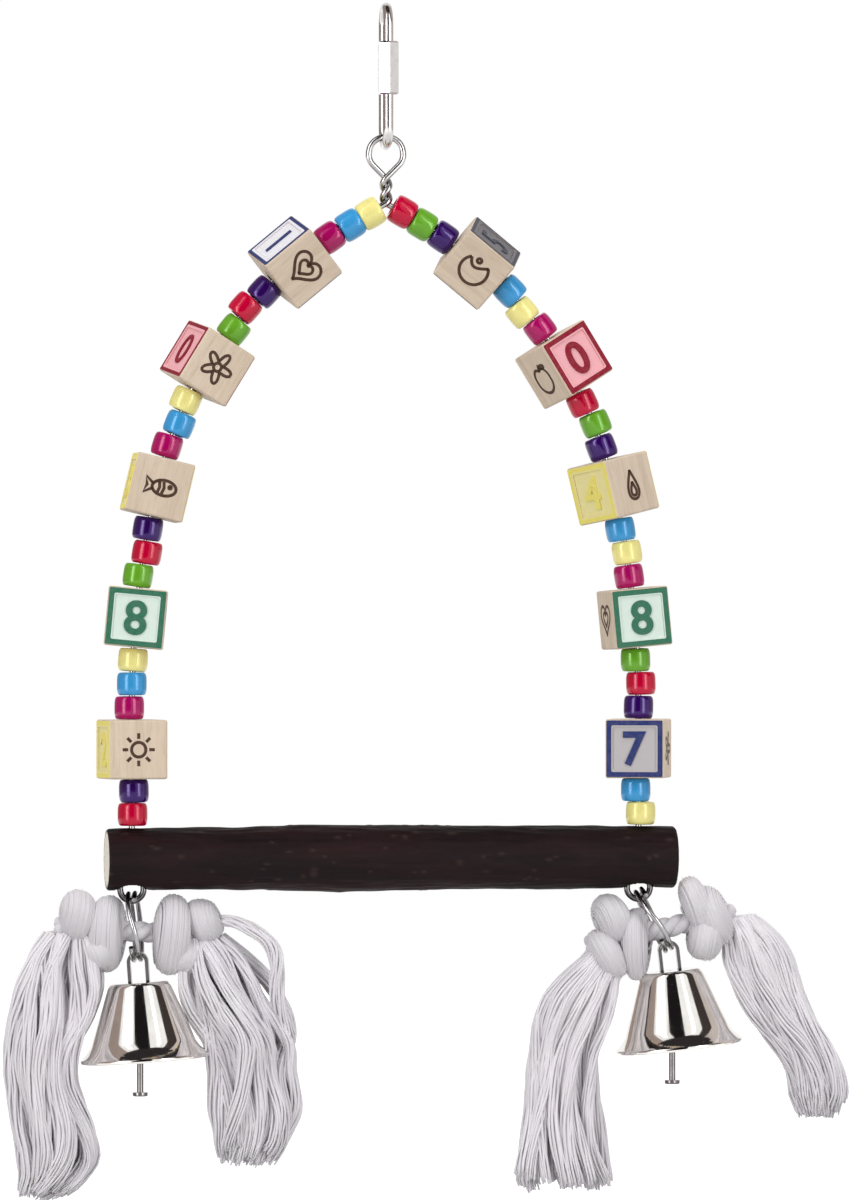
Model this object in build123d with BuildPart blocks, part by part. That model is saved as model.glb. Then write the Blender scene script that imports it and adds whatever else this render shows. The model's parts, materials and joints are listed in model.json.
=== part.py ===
import os
from math import atan2, cos, degrees, pi, radians, sin, sqrt, tan

from build123d import *

# A bird swing that hangs from a quick link. Millimetres, +Z up, X along the perch, the photographed side is -Y.
# The origin is the hang point: the inside of the quick link's top bend.

# Clearances that several pieces share.
running_clearance = 0.15
seat_clearance = 0.1
cut_overrun = 1.0

# Quick link: a bent rod in the YZ plane with its nut on the front leg.
link_wire_dia = 3.0
link_length = 44.4
link_width = 14.0
link_stub_length = 7.5
link_gap = 6.0
link_tip_chamfer = 0.4
nut_length = 16.0
nut_across_flats = 5.8
nut_lap = 2.6
nut_chamfer = 0.5

# Arch wire: one wire with an eye, a twist of one turn, two arms and a small eye at each end.
arch_wire_dia = 1.9
arch_span = 153.2
eye_radius = 5.1
eye_slope_deg = 45.0
twist_height = 8.0
twist_gap = 0.12
arm_start_deg = 30.0
arm_shoulder_deg = 76.0
arm_top_straight = 14.0
arm_mid_straight = 1.0
arm_lower_radius = 280.0
low_eye_radius = 3.5
low_eye_neck_share = 1.5
low_eye_drop = 3.6
eye_corner_count = 5

# Beads and blocks, threaded on the arms.
bead_dia = 9.0
bead_length = 6.87
bead_bore = 4.0
bead_rim_radius = 2.1
block_size = 17.7
block_bore = 4.6
block_edge_radius = 0.7
block_frame_width = 2.2
block_sink_depth = 0.4
bead_top_clearance = 0.3
run_bead_count = 3
run_count = 6
last_run_bead_count = 2
# Sideways lean of each bead on the wire, as a share of its play, from the top of each arm down.
left_lean_shares = [0.0, 0.3, -0.2, 0.2, -0.6, 0.4, -0.5, 0.5, -0.5, -0.3, 0.3, -0.5, 0.4, 0.1, -0.4, 0.2, -0.2]
right_lean_shares = [0.3, 0.4, -0.3, 0.2, -0.6, 0.3, -0.6, 0.5, -0.3, -0.4, 0.5, 0.4, -0.4, 0.5, -0.2, -0.4, 0.2]
# Turn of each block about the wire, with the sunk faces to the front or to the sides, from the top down.
left_block_turns = [(19.5, "side"), (16.5, "side"), (-0.5, "side"), (-6.5, "front"), (7.5, "side")]
right_block_turns = [(-21.5, "side"), (24.5, "front"), (33.5, "side"), (6.5, "front"), (-16.5, "front")]

# Perch: a length of branch, so its girth and its line wander a little.
perch_dia = 19.6
perch_left_overhang = 7.6
perch_right_overhang = 11.0
perch_hole_clearance = 0.5
perch_eye_clearance = 0.6
perch_station_shares = [0.0, 0.17, 0.38, 0.6, 0.82, 1.0]
perch_girth_shares = [0.955, 0.975, 1.03, 1.01, 0.985, 0.965]
perch_dip_shares = [0.02, 0.004, -0.02, -0.012, 0.003, 0.008]

# Split rings: two flat turns of wire with a short jog between them.
ring_wire_dia = 1.5
ring_radius = 10.0
ring_turn_gap = 0.45
ring_start_deg = 125.0
ring_corner_deg = 45.0
ring_corner_count = 14

# Bells: a spun shell, a strip hanger through its crown and a clapper on a pin inside.
bell_rim_dia = 38.4
bell_crown_dia = 19.4
bell_height = 23.4
bell_wall = 0.8
bell_shoulder_radius = 1.6
bell_waist_dia = 31.0
bell_waist_drop = 17.6
bell_rim_lip = 1.1
hanger_inner_width = 4.4
hanger_strip = 1.0
hanger_strip_width = 4.0
hanger_rise = 6.0
hanger_tail = 5.4
hanger_tab_length = 1.6
pin_dia = 1.4
pin_drop = 4.2
clapper_rod_dia = 2.0
clapper_eye_dia = 4.2
clapper_eye_thickness = 2.4
clapper_length = 30.0
clapper_head_dia = 4.6
clapper_head_thickness = 1.2

# Ropes: a length through each ring, a knot of two wraps on each side, and the frayed ends as tassels.
rope_dia = 6.4
knot_dia = 22.4
knot_valley_share = 0.8
knot_crest_share = 0.27
left_knot_length = 20.0
right_knot_length = 17.0
left_outer_set_back = 3.4
left_inner_set_back = 4.6
right_inner_set_back = 3.2
right_outer_set_back = 7.8
left_rope_drop = 1.4
right_rope_drop = 3.2
tassel_depth_share = 0.62
tassel_corner_share = 0.3
left_outer_tassel_length = 80.0
left_inner_tassel_length = 70.0
right_inner_tassel_length = 76.0
right_outer_tassel_length = 58.0
# Each tassel from its knot's middle down: drop, sideways place and width, as shares of its length.
left_outer_shares = [
    (0.02, -0.1, 0.15), (0.12, -0.12, 0.2), (0.23, -0.14, 0.27), (0.36, -0.175, 0.28), (0.48, -0.205, 0.25),
    (0.64, -0.19, 0.25), (0.79, -0.145, 0.31), (0.93, -0.165, 0.24), (1.0, -0.19, 0.12),
]
left_inner_shares = [
    (0.02, 0.09, 0.18), (0.12, 0.115, 0.23), (0.24, 0.18, 0.28), (0.38, 0.255, 0.35), (0.52, 0.315, 0.34),
    (0.72, 0.315, 0.33), (0.88, 0.325, 0.33), (1.0, 0.3, 0.22),
]
right_inner_shares = [
    (0.02, -0.03, 0.16), (0.12, -0.07, 0.23), (0.22, -0.16, 0.31), (0.33, -0.215, 0.34), (0.47, -0.265, 0.28),
    (0.66, -0.27, 0.29), (0.82, -0.27, 0.37), (0.95, -0.25, 0.39), (1.0, -0.25, 0.33),
]
right_outer_shares = [
    (0.02, 0.15, 0.2), (0.1, 0.22, 0.27), (0.22, 0.28, 0.34), (0.38, 0.345, 0.37), (0.53, 0.41, 0.35),
    (0.66, 0.5, 0.34), (0.78, 0.56, 0.33), (0.9, 0.6, 0.3), (1.0, 0.61, 0.2),
]

# How each end of the swing hangs in the photograph, in degrees.
ring_lean_deg = {"left": 5.0, "right": 27.0}
ring_yaw_deg = {"left": 10.0, "right": 4.0}
rope_slope_deg = {"left": -3.0, "right": 13.0}
bell_tilt_deg = {"left": 4.0, "right": 6.5}

os.makedirs("parts", exist_ok=True)


def write_piece(builder, name):
    builder.part.label = name
    export_step(builder.part, f"parts/{name}.step")


def corner_radii(points):
    # The largest arc that each corner's two runs leave room for. An end run has one corner, so it gives twice as much.
    radii = []
    last = len(points) - 2
    for i in range(1, last + 1):
        run_in = Vector(*points[i]) - Vector(*points[i - 1])
        run_out = Vector(*points[i + 1]) - Vector(*points[i])
        half_turn = radians(run_in.get_angle(run_out)) / 2
        room_in = run_in.length * (0.9 if i == 1 else 0.45)
        room_out = run_out.length * (0.9 if i == last else 0.45)
        radii.append(min(room_in, room_out) / tan(half_turn))
    return radii


def loop_corners(radius, first_deg, last_deg, count):
    # Corners of an open polygon whose sides touch a circle, as (across, up) pairs.
    step = (last_deg - first_deg) / count
    reach = radius / cos(radians(step / 2))
    angles = [radians(first_deg + step * (i + 0.5)) for i in range(count)]
    return [(reach * cos(angle), reach * sin(angle)) for angle in angles]


# Heights that follow from one another down the swing.
link_bend_radius = (link_width - link_wire_dia) / 2
link_top_z = link_wire_dia / 2
link_bottom_z = link_wire_dia * 1.5 - link_length
eye_top_z = link_bottom_z + (link_wire_dia + arch_wire_dia) / 2 + running_clearance
eye_z = eye_top_z - eye_radius
eye_neck_z = eye_z - eye_radius / cos(radians(eye_slope_deg))
twist_radius = (arch_wire_dia + twist_gap) / 2
apex_z = eye_neck_z - twist_height

# Quick link body.
link_upper_center_z = link_top_z - link_bend_radius
link_lower_center_z = link_bottom_z + link_bend_radius
link_stub_z = link_upper_center_z - link_stub_length
link_thread_z = link_stub_z - link_gap
with BuildPart() as link_body:
    with BuildLine(Plane.YZ) as link_path:
        Line((-link_bend_radius, link_stub_z), (-link_bend_radius, link_upper_center_z))
        CenterArc((0, link_upper_center_z), link_bend_radius, 180, -180)
        Line((link_bend_radius, link_upper_center_z), (link_bend_radius, link_lower_center_z))
        CenterArc((0, link_lower_center_z), link_bend_radius, 0, -180)
        Line((-link_bend_radius, link_lower_center_z), (-link_bend_radius, link_thread_z))
    with BuildSketch(Plane((0, -link_bend_radius, link_stub_z))):
        Circle(link_wire_dia / 2)
    sweep(path=link_path.line)
    link_tips = [f for f in link_body.faces().filter_by(GeomType.PLANE)]
    chamfer([f.edges()[0] for f in link_tips], link_tip_chamfer)
write_piece(link_body, "link_body")

# Quick link nut, closed over the gap, with an edge of the hexagon to the front.
nut_top_z = link_stub_z + nut_lap
with BuildPart() as link_nut:
    with BuildSketch(Plane((0, -link_bend_radius, nut_top_z - nut_length))):
        RegularPolygon(nut_across_flats / 2, 6, major_radius=False, rotation=30)
    extrude(amount=nut_length)
    nut_ends = link_nut.faces().filter_by(Axis.Z).edges()
    chamfer(nut_ends, nut_chamfer)
    with BuildSketch(Plane((0, -link_bend_radius, nut_top_z - nut_length - cut_overrun))):
        Circle(link_wire_dia / 2 + running_clearance)
    extrude(amount=nut_length + 2 * cut_overrun, mode=Mode.SUBTRACT)
write_piece(link_nut, "link_nut")

# The left arm's line, from the twist's first corner out and down. The right arm is the same, half a turn about Z.
twist_first = (twist_radius, -twist_radius, apex_z + twist_height / 8)
start_turn = radians(arm_start_deg)
shoulder_turn = radians(arm_shoulder_deg)
upper_tangent_share = tan((shoulder_turn - start_turn) / 2)
lower_tangent = arm_lower_radius * tan((pi / 2 - shoulder_turn) / 2)
upper_reach = arch_span / 2 + twist_radius - arm_top_straight * cos(start_turn)
upper_reach -= (arm_mid_straight + lower_tangent) * cos(shoulder_turn)
arm_upper_radius = upper_reach / (upper_tangent_share * (cos(start_turn) + cos(shoulder_turn)))
upper_tangent = arm_upper_radius * upper_tangent_share
shoulder_run = arm_top_straight + upper_tangent
side_run = upper_tangent + arm_mid_straight + lower_tangent
arm_shoulder = (
    twist_first[0] - shoulder_run * cos(start_turn),
    0,
    twist_first[2] - shoulder_run * sin(start_turn),
)
arm_side = (-arch_span / 2, 0, arm_shoulder[2] - side_run * sin(shoulder_turn))
threaded_length = run_count * run_bead_count * bead_length + (run_count - 1) * block_size
arm_foot = (-arch_span / 2, 0, arm_side[2] - lower_tangent - threaded_length)
with BuildLine() as arm_line:
    FilletPolyline(twist_first, arm_shoulder, arm_side, arm_foot, radius=[arm_upper_radius, arm_lower_radius])
arm = arm_line.wire()


def arm_frame(length, side):
    # The wire's place and upward direction at a length down one arm.
    place = arm.position_at(length, PositionMode.LENGTH)
    along = arm.tangent_at(length, PositionMode.LENGTH) * -1
    if side == "right":
        place = Vector(-place.X, -place.Y, place.Z)
        along = Vector(-along.X, -along.Y, along.Z)
    front = Vector(0, -1, 0)
    front = (front - along * front.dot(along)).normalized()
    return Plane(place, x_dir=front, z_dir=along)


# Walk down the arm. Each next piece leaves a clearance, and more where the wire bends.
threaded = []
for run in range(run_count):
    bead_count = last_run_bead_count if run == run_count - 1 else run_bead_count
    threaded += ["bead"] * bead_count
    if run < run_count - 1:
        threaded.append("block")
piece_length = {"bead": bead_length, "block": block_size}
top_lean = bead_dia / 2 - bead_rim_radius / 2
first_reach = (top_lean * sin(start_turn) + twist_radius + bead_top_clearance) / cos(start_turn)
places = [first_reach + bead_length / 2]
for kind_above, kind in zip(threaded, threaded[1:]):
    plain_step = (piece_length[kind_above] + piece_length[kind]) / 2 + running_clearance
    tangent_above = arm.tangent_at(places[-1], PositionMode.LENGTH)
    tangent_here = arm.tangent_at(places[-1] + plain_step, PositionMode.LENGTH)
    bend = radians(tangent_above.get_angle(tangent_here))
    places.append(places[-1] + plain_step + bead_dia / 2 * sin(bend))
perch_top_length = places[-1] + bead_length / 2 + running_clearance
perch_top_z = arm.position_at(perch_top_length, PositionMode.LENGTH).Z
perch_bottom_z = perch_top_z - perch_dia

# Arch wire. Its second half is its first half turned about Z.
low_eye_outer = low_eye_radius + arch_wire_dia / 2
low_eye_z = perch_bottom_z - low_eye_drop + low_eye_outer
low_eye_neck = low_eye_neck_share * low_eye_radius
neck_deg = degrees(atan2(low_eye_radius, sqrt(low_eye_neck**2 - low_eye_radius**2)))
tip_deg = 360 + 60
low_eye_corners = loop_corners(low_eye_radius, 180 - neck_deg, tip_deg, eye_corner_count)
half_path = [(
    -arch_span / 2 + low_eye_radius * cos(radians(tip_deg)),
    0,
    low_eye_z + low_eye_radius * sin(radians(tip_deg)),
)]
half_path += [(-arch_span / 2 + across, 0, low_eye_z + up) for across, up in reversed(low_eye_corners)]
half_path += [(-arch_span / 2, 0, low_eye_z + low_eye_neck), arm_side, arm_shoulder]
for quarter in range(4):
    angle = radians(-45 + 90 * quarter)
    half_path.append((
        sqrt(2) * twist_radius * cos(angle),
        sqrt(2) * twist_radius * sin(angle),
        apex_z + twist_height * (quarter + 0.5) / 4,
    ))
eye_corners = loop_corners(eye_radius, -eye_slope_deg, 180 + eye_slope_deg, eye_corner_count)
eye_shift = 2 * twist_radius / (eye_corner_count + 1)
for i, (across, up) in enumerate(eye_corners[: eye_corner_count // 2]):
    half_path.append((across, -twist_radius + eye_shift * (i + 1), eye_z + up))
eye_peak = (0, 0, eye_z + eye_corners[eye_corner_count // 2][1])
arch_points = half_path + [eye_peak] + [(-x, -y, z) for x, y, z in reversed(half_path)]
arch_radii = corner_radii(arch_points)
for i, corner in enumerate(arch_points[1:-1]):
    if abs(corner[2] - arm_shoulder[2]) < running_clearance:
        arch_radii[i] = arm_upper_radius
    if abs(corner[2] - arm_side[2]) < running_clearance:
        arch_radii[i] = arm_lower_radius
with BuildPart() as arch_wire:
    with BuildLine() as arch_path:
        FilletPolyline(*arch_points, radius=arch_radii)
    arch_curve = arch_path.wire()
    with BuildSketch(Plane(arch_curve @ 0, z_dir=arch_curve % 0)):
        Circle(arch_wire_dia / 2)
    sweep(path=arch_curve)
arch_volume = pi * arch_wire_dia**2 / 4 * arch_curve.length
print(f"arch wire length {arch_curve.length:.1f}, least bend {min(arch_radii):.2f}")
print(f"arch wire volume over section times length {arch_wire.part.volume / arch_volume:.4f}")
write_piece(arch_wire, "arch_wire")


# Beads.
def make_bead(frame, name):
    half_plane = Plane(frame.origin, x_dir=frame.x_dir, z_dir=frame.y_dir * -1)
    wall = (bead_dia - bead_bore) / 2
    with BuildPart() as bead:
        with BuildSketch(half_plane):
            with Locations((bead_bore / 2 + wall / 2, 0)):
                section = Rectangle(wall, bead_length)
            fillet(section.vertices().sort_by(lambda v: frame.to_local_coords(v).X)[2:], bead_rim_radius)
        revolve(axis=Axis(frame.origin, frame.z_dir))
    write_piece(bead, name)


# Blocks, with two opposite faces sunk inside a frame.
def make_block(frame, turn_deg, sunk, name):
    turn = radians(turn_deg + (90 if sunk == "side" else 0))
    turned = Plane(frame.origin, x_dir=frame.x_dir * cos(turn) + frame.y_dir * sin(turn), z_dir=frame.z_dir)
    field = block_size - 2 * block_frame_width
    with BuildPart() as block:
        with BuildSketch(turned.offset(-block_size / 2)):
            Rectangle(block_size, block_size)
        extrude(amount=block_size)
        fillet(block.edges(), block_edge_radius)
        for out in (turned.x_dir, turned.x_dir * -1):
            face = Plane(turned.origin + out * (block_size / 2 - block_sink_depth), x_dir=turned.y_dir, z_dir=out)
            with BuildSketch(face):
                RectangleRounded(field, field, block_edge_radius)
            extrude(amount=block_sink_depth + cut_overrun, mode=Mode.SUBTRACT)
        with BuildSketch(turned.offset(-block_size / 2 - cut_overrun)):
            Circle(block_bore / 2)
        extrude(amount=block_size + 2 * cut_overrun, mode=Mode.SUBTRACT)
    write_piece(block, name)


bead_play = (bead_bore - arch_wire_dia) / 2 - running_clearance
for side, lean_shares, block_turns in (
    ("left", left_lean_shares, left_block_turns),
    ("right", right_lean_shares, right_block_turns),
):
    bead_number = 0
    block_number = 0
    for kind, place in zip(threaded, places):
        frame = arm_frame(place, side)
        if kind == "bead":
            lean = lean_shares[bead_number] * bead_play
            bead_number += 1
            bead_frame = Plane(frame.origin + frame.y_dir * lean, frame.x_dir, frame.z_dir)
            make_bead(bead_frame, f"{side}_bead_{bead_number:02d}")
        else:
            turn_deg, sunk = block_turns[block_number]
            block_number += 1
            make_block(frame, turn_deg, sunk, f"{side}_block_{block_number}")

# Perch, with a hole for each arm and a counterbore below for its eye.
perch_left_x = -arch_span / 2 - perch_left_overhang
perch_length = arch_span + perch_left_overhang + perch_right_overhang
perch_pocket_dia = 2 * (low_eye_outer + perch_eye_clearance)
perch_pocket_top_z = low_eye_z + low_eye_neck + arch_wire_dia / 2
with BuildPart() as perch:
    for station, girth, dip in zip(perch_station_shares, perch_girth_shares, perch_dip_shares):
        middle = (perch_left_x + station * perch_length, 0, perch_top_z - (dip + girth / 2) * perch_dia)
        with BuildSketch(Plane(middle, x_dir=(0, 1, 0), z_dir=(1, 0, 0))):
            Circle(girth * perch_dia / 2)
    loft()
    for hole_x in (-arch_span / 2, arch_span / 2):
        with BuildSketch(Plane((hole_x, 0, perch_bottom_z - perch_dia))):
            Circle(arch_wire_dia / 2 + perch_hole_clearance)
        extrude(amount=perch_dia * 3, mode=Mode.SUBTRACT)
        with BuildSketch(Plane((hole_x, 0, perch_bottom_z - perch_dia))):
            Circle(perch_pocket_dia / 2)
        extrude(amount=perch_pocket_top_z - perch_bottom_z + perch_dia, mode=Mode.SUBTRACT)
write_piece(perch, "perch")


# The ring, rope, bell and clapper at one end of the perch.
def tilted(angle_deg):
    return Vector(cos(radians(angle_deg)), 0, sin(radians(angle_deg)))


def pair_drop(inner_radius, seat_width, lean_deg):
    # How far the two ring wires sit from the middle of a round seat of this inner radius and width.
    half_pitch = (ring_wire_dia + ring_turn_gap) / 2
    rise = ring_radius - sqrt(ring_radius**2 - (seat_width / 2) ** 2)
    reach = inner_radius - ring_wire_dia / 2 - seat_clearance - rise
    lean = radians(abs(lean_deg))
    return sqrt(reach**2 - (half_pitch * cos(lean)) ** 2) - half_pitch * sin(lean)


def make_ring(side, center, down, normal):
    ring_plane = Plane(center, x_dir=down * -1, z_dir=normal)
    pitch = ring_wire_dia + ring_turn_gap
    last_deg = ring_start_deg + ring_corner_deg * ring_corner_count
    corners = loop_corners(ring_radius, ring_start_deg, last_deg, ring_corner_count)
    ends = [(ring_radius * cos(radians(a)), ring_radius * sin(radians(a))) for a in (ring_start_deg, last_deg)]
    flat = [ends[0]] + corners + [ends[1]]
    rise = [-pitch / 2 if i <= len(flat) / 2 - 1 else pitch / 2 for i in range(len(flat))]
    points = [tuple(ring_plane.from_local_coords(Vector(*across, up))) for across, up in zip(flat, rise)]
    with BuildPart() as ring:
        with BuildLine() as ring_path:
            FilletPolyline(*points, radius=corner_radii(points))
        curve = ring_path.wire()
        with BuildSketch(Plane(curve @ 0, z_dir=curve % 0)):
            Circle(ring_wire_dia / 2)
        sweep(path=curve)
    samples = [curve.position_at(i / 120) for i in range(121)]
    apart = min((p - q).length for i, p in enumerate(samples) for q in samples[i + 20:])
    print(f"{side} split ring: least gap to itself {apart - ring_wire_dia:.2f}")
    write_piece(ring, f"{side}_split_ring")


def make_bell(side, crown, up, across):
    bell_plane = Plane(crown, x_dir=across, z_dir=across.cross(up))
    crown_radius = bell_crown_dia / 2
    with BuildPart() as shell:
        with BuildSketch(bell_plane):
            with BuildLine():
                top = Line((0, 0), (crown_radius - bell_shoulder_radius, 0))
                shoulder = Line((crown_radius, -bell_shoulder_radius), (bell_waist_dia / 2, -bell_waist_drop))
                Spline(top @ 1, shoulder @ 0, tangents=[(1, 0), shoulder % 0])
                lip_top = (bell_rim_dia / 2, bell_rim_lip - bell_height)
                flare = Spline(shoulder @ 1, lip_top, tangents=[shoulder % 1, (1, -1)])
                lip = Line(flare @ 1, (bell_rim_dia / 2, -bell_height))
                foot = Line(lip @ 1, (bell_rim_dia / 2 - bell_wall, -bell_height))
                inner_top = -bell_wall
                inner_shoulder = Line(
                    (bell_waist_dia / 2 - bell_wall, -bell_waist_drop),
                    (crown_radius - bell_wall, -bell_shoulder_radius - bell_wall),
                )
                Spline(foot @ 1, inner_shoulder @ 0, tangents=[(-1, 1), inner_shoulder % 0])
                ceiling = Line((crown_radius - bell_wall - bell_shoulder_radius, inner_top), (0, inner_top))
                Spline(inner_shoulder @ 1, ceiling @ 0, tangents=[inner_shoulder % 1, (-1, 0)])
                Line(ceiling @ 1, (0, 0))
            make_face()
        revolve(axis=Axis(crown, up))
        slot_width = hanger_inner_width + 2 * hanger_strip + 2 * seat_clearance
        with BuildSketch(Plane(crown + up * cut_overrun, x_dir=across, z_dir=up * -1)):
            Rectangle(slot_width, hanger_strip_width + 2 * seat_clearance)
        extrude(amount=bell_wall + 2 * cut_overrun, mode=Mode.SUBTRACT)
    write_piece(shell, f"{side}_bell_shell")

    inner = hanger_inner_width / 2
    outer = inner + hanger_strip
    tab_top = -bell_wall - seat_clearance
    with BuildPart() as hanger:
        with BuildSketch(bell_plane):
            with Locations((0, hanger_rise)):
                Circle(outer)
            with Locations((0, (hanger_rise - hanger_tail) / 2)):
                Rectangle(2 * outer, hanger_rise + hanger_tail)
            with Locations((0, hanger_rise)):
                Circle(inner, mode=Mode.SUBTRACT)
            with Locations((0, (hanger_rise - hanger_tail) / 2)):
                Rectangle(2 * inner, hanger_rise + hanger_tail, mode=Mode.SUBTRACT)
            for tab_side in (-1, 1):
                with Locations((tab_side * (outer + hanger_tab_length / 2), tab_top - hanger_strip / 2)):
                    Rectangle(hanger_tab_length, hanger_strip)
        extrude(amount=hanger_strip_width / 2, both=True)
        with BuildSketch(Plane(crown - up * pin_drop - across * outer, z_dir=across)):
            Circle(pin_dia / 2)
        extrude(amount=2 * outer)
    write_piece(hanger, f"{side}_bell_hanger")


def make_clapper(side, pivot, across):
    eye_plane = Plane(pivot, z_dir=Vector(across.X, across.Y, 0))
    foot = pivot - Vector(0, 0, clapper_length)
    with BuildPart() as clapper:
        with BuildSketch(Plane(foot)):
            Circle(clapper_head_dia / 2)
        extrude(amount=clapper_head_thickness)
        fillet(clapper.edges().sort_by(Axis.Z)[0], clapper_head_thickness / 3)
        with BuildSketch(Plane(foot + Vector(0, 0, clapper_head_thickness))):
            Circle(clapper_rod_dia / 2)
        extrude(amount=clapper_length - clapper_head_thickness)
        with BuildSketch(eye_plane):
            Circle(clapper_eye_dia / 2)
        extrude(amount=clapper_eye_thickness / 2, both=True)
        with BuildSketch(eye_plane):
            Circle(pin_dia / 2 + running_clearance)
        extrude(amount=clapper_eye_thickness, both=True, mode=Mode.SUBTRACT)
    write_piece(clapper, f"{side}_clapper")


def make_rope(side, middle, along, knot_length, set_backs, tassels):
    rope_plane = Plane(middle, x_dir=along, z_dir=Vector(0, -1, 0))
    crest = knot_dia / 2
    necks = []
    ends = []
    with BuildPart() as rope:
        with BuildSketch(rope_plane):
            with BuildLine():
                for way, set_back in zip((-1, 1), set_backs):
                    necks.append((way * set_back, rope_dia / 2))
                    inner_crest = (way * (set_back + knot_crest_share * knot_length), crest)
                    valley = (way * (set_back + knot_length / 2), knot_valley_share * crest)
                    outer_crest = (way * (set_back + (1 - knot_crest_share) * knot_length), crest)
                    cheek = (way * (set_back + knot_length), rope_dia / 2)
                    ends.append((way * (set_back + knot_length), 0))
                    Spline(necks[-1], inner_crest, valley)
                    Spline(valley, outer_crest, cheek)
                    Line(cheek, ends[-1])
                Line(*necks)
                Line(*ends)
            make_face()
        revolve(axis=Axis(middle, along))
    write_piece(rope, f"{side}_rope")

    with BuildPart() as tassel_pair:
        for way, set_back, (length, shares) in zip((-1, 1), set_backs, tassels):
            knot_center = middle + along * (way * (set_back + knot_length / 2))
            for drop, across, width in shares:
                place = knot_center + Vector(across * length, 0, -drop * length)
                with BuildSketch(Plane(place)):
                    size = (width * length, tassel_depth_share * width * length)
                    RectangleRounded(*size, tassel_corner_share * min(size))
            loft()
        add(rope.part, mode=Mode.SUBTRACT)
    write_piece(tassel_pair, f"{side}_tassels")


for side, way, rope_drop, knot_length, set_backs, tassels in (
    ("left", -1, left_rope_drop, left_knot_length, (left_outer_set_back, left_inner_set_back), [
        (left_outer_tassel_length, left_outer_shares), (left_inner_tassel_length, left_inner_shares)]),
    ("right", 1, right_rope_drop, right_knot_length, (right_inner_set_back, right_outer_set_back), [
        (right_inner_tassel_length, right_inner_shares), (right_outer_tassel_length, right_outer_shares)]),
):
    lean_deg = ring_lean_deg[side]
    yaw = radians(ring_yaw_deg[side])
    down = tilted(lean_deg - 90)
    normal = tilted(lean_deg) * cos(yaw) + Vector(0, -1, 0) * sin(yaw)
    seat_drop = pair_drop(low_eye_radius - arch_wire_dia / 2, 0, lean_deg)
    ring_top = Vector(way * arch_span / 2, 0, low_eye_z - seat_drop)
    ring_center = ring_top + down * ring_radius
    make_ring(side, ring_center, down, normal)

    bell_up = tilted(90 + bell_tilt_deg[side])
    along_ring = Vector(0, -1, 0) * cos(yaw) - tilted(lean_deg) * sin(yaw)
    bell_across = bell_up.cross(along_ring).normalized()
    loop_drop = pair_drop(hanger_inner_width / 2, hanger_strip_width, lean_deg - bell_tilt_deg[side])
    loop_center = ring_center + down * ring_radius - bell_up * loop_drop
    crown = loop_center - bell_up * hanger_rise
    pin = crown - bell_up * pin_drop
    make_bell(side, crown, bell_up, bell_across)
    make_clapper(side, pin, bell_across)
    rope_middle = ring_center - Vector(0, 0, rope_drop)
    make_rope(side, rope_middle, tilted(rope_slope_deg[side]), knot_length, set_backs, tassels)
    print(f"{side} ring pivot {way * arch_span / 2:.3f} 0 {low_eye_z - low_eye_radius:.3f}")
    print(f"{side} ring center {tuple(ring_center)} normal {tuple(normal)}")
    print(f"{side} pin {tuple(pin)} along {tuple(bell_across)}")

print(f"eye top {eye_top_z:.3f} apex {apex_z:.3f} perch top {perch_top_z:.3f} bottom {perch_bottom_z:.3f}")
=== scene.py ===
import json
import math

import bpy
import numpy as np
from mathutils import Matrix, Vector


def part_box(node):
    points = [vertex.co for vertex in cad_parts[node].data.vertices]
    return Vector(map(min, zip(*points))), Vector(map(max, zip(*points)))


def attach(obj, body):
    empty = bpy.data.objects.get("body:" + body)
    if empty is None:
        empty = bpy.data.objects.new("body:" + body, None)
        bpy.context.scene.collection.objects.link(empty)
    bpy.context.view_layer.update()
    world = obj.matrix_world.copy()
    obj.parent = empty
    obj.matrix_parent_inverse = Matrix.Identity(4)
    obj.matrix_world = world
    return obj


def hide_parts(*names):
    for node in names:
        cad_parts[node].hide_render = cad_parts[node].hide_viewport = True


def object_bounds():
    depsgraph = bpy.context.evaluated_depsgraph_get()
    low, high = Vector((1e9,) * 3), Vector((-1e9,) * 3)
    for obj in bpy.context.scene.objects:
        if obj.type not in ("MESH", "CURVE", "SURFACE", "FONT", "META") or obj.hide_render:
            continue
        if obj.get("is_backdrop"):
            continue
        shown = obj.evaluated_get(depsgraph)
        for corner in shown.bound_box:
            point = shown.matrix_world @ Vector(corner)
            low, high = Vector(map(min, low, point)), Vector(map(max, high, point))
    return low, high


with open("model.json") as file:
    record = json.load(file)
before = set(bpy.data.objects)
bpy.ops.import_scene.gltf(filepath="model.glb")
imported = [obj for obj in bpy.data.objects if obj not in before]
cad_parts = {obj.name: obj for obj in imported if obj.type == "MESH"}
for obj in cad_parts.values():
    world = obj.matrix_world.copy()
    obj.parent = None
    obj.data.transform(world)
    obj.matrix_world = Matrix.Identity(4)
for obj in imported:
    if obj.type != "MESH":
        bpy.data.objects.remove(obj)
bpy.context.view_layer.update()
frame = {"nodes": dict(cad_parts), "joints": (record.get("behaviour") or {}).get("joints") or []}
nodes = frame["nodes"]
joints = {j["name"]: j for j in frame["joints"]}
mm = 0.001
print("frame loaded:", len(nodes), "nodes")


def addObject(name, data):
    piece = bpy.data.objects.new(name, data)
    bpy.context.scene.collection.objects.link(piece)
    return piece


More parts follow.
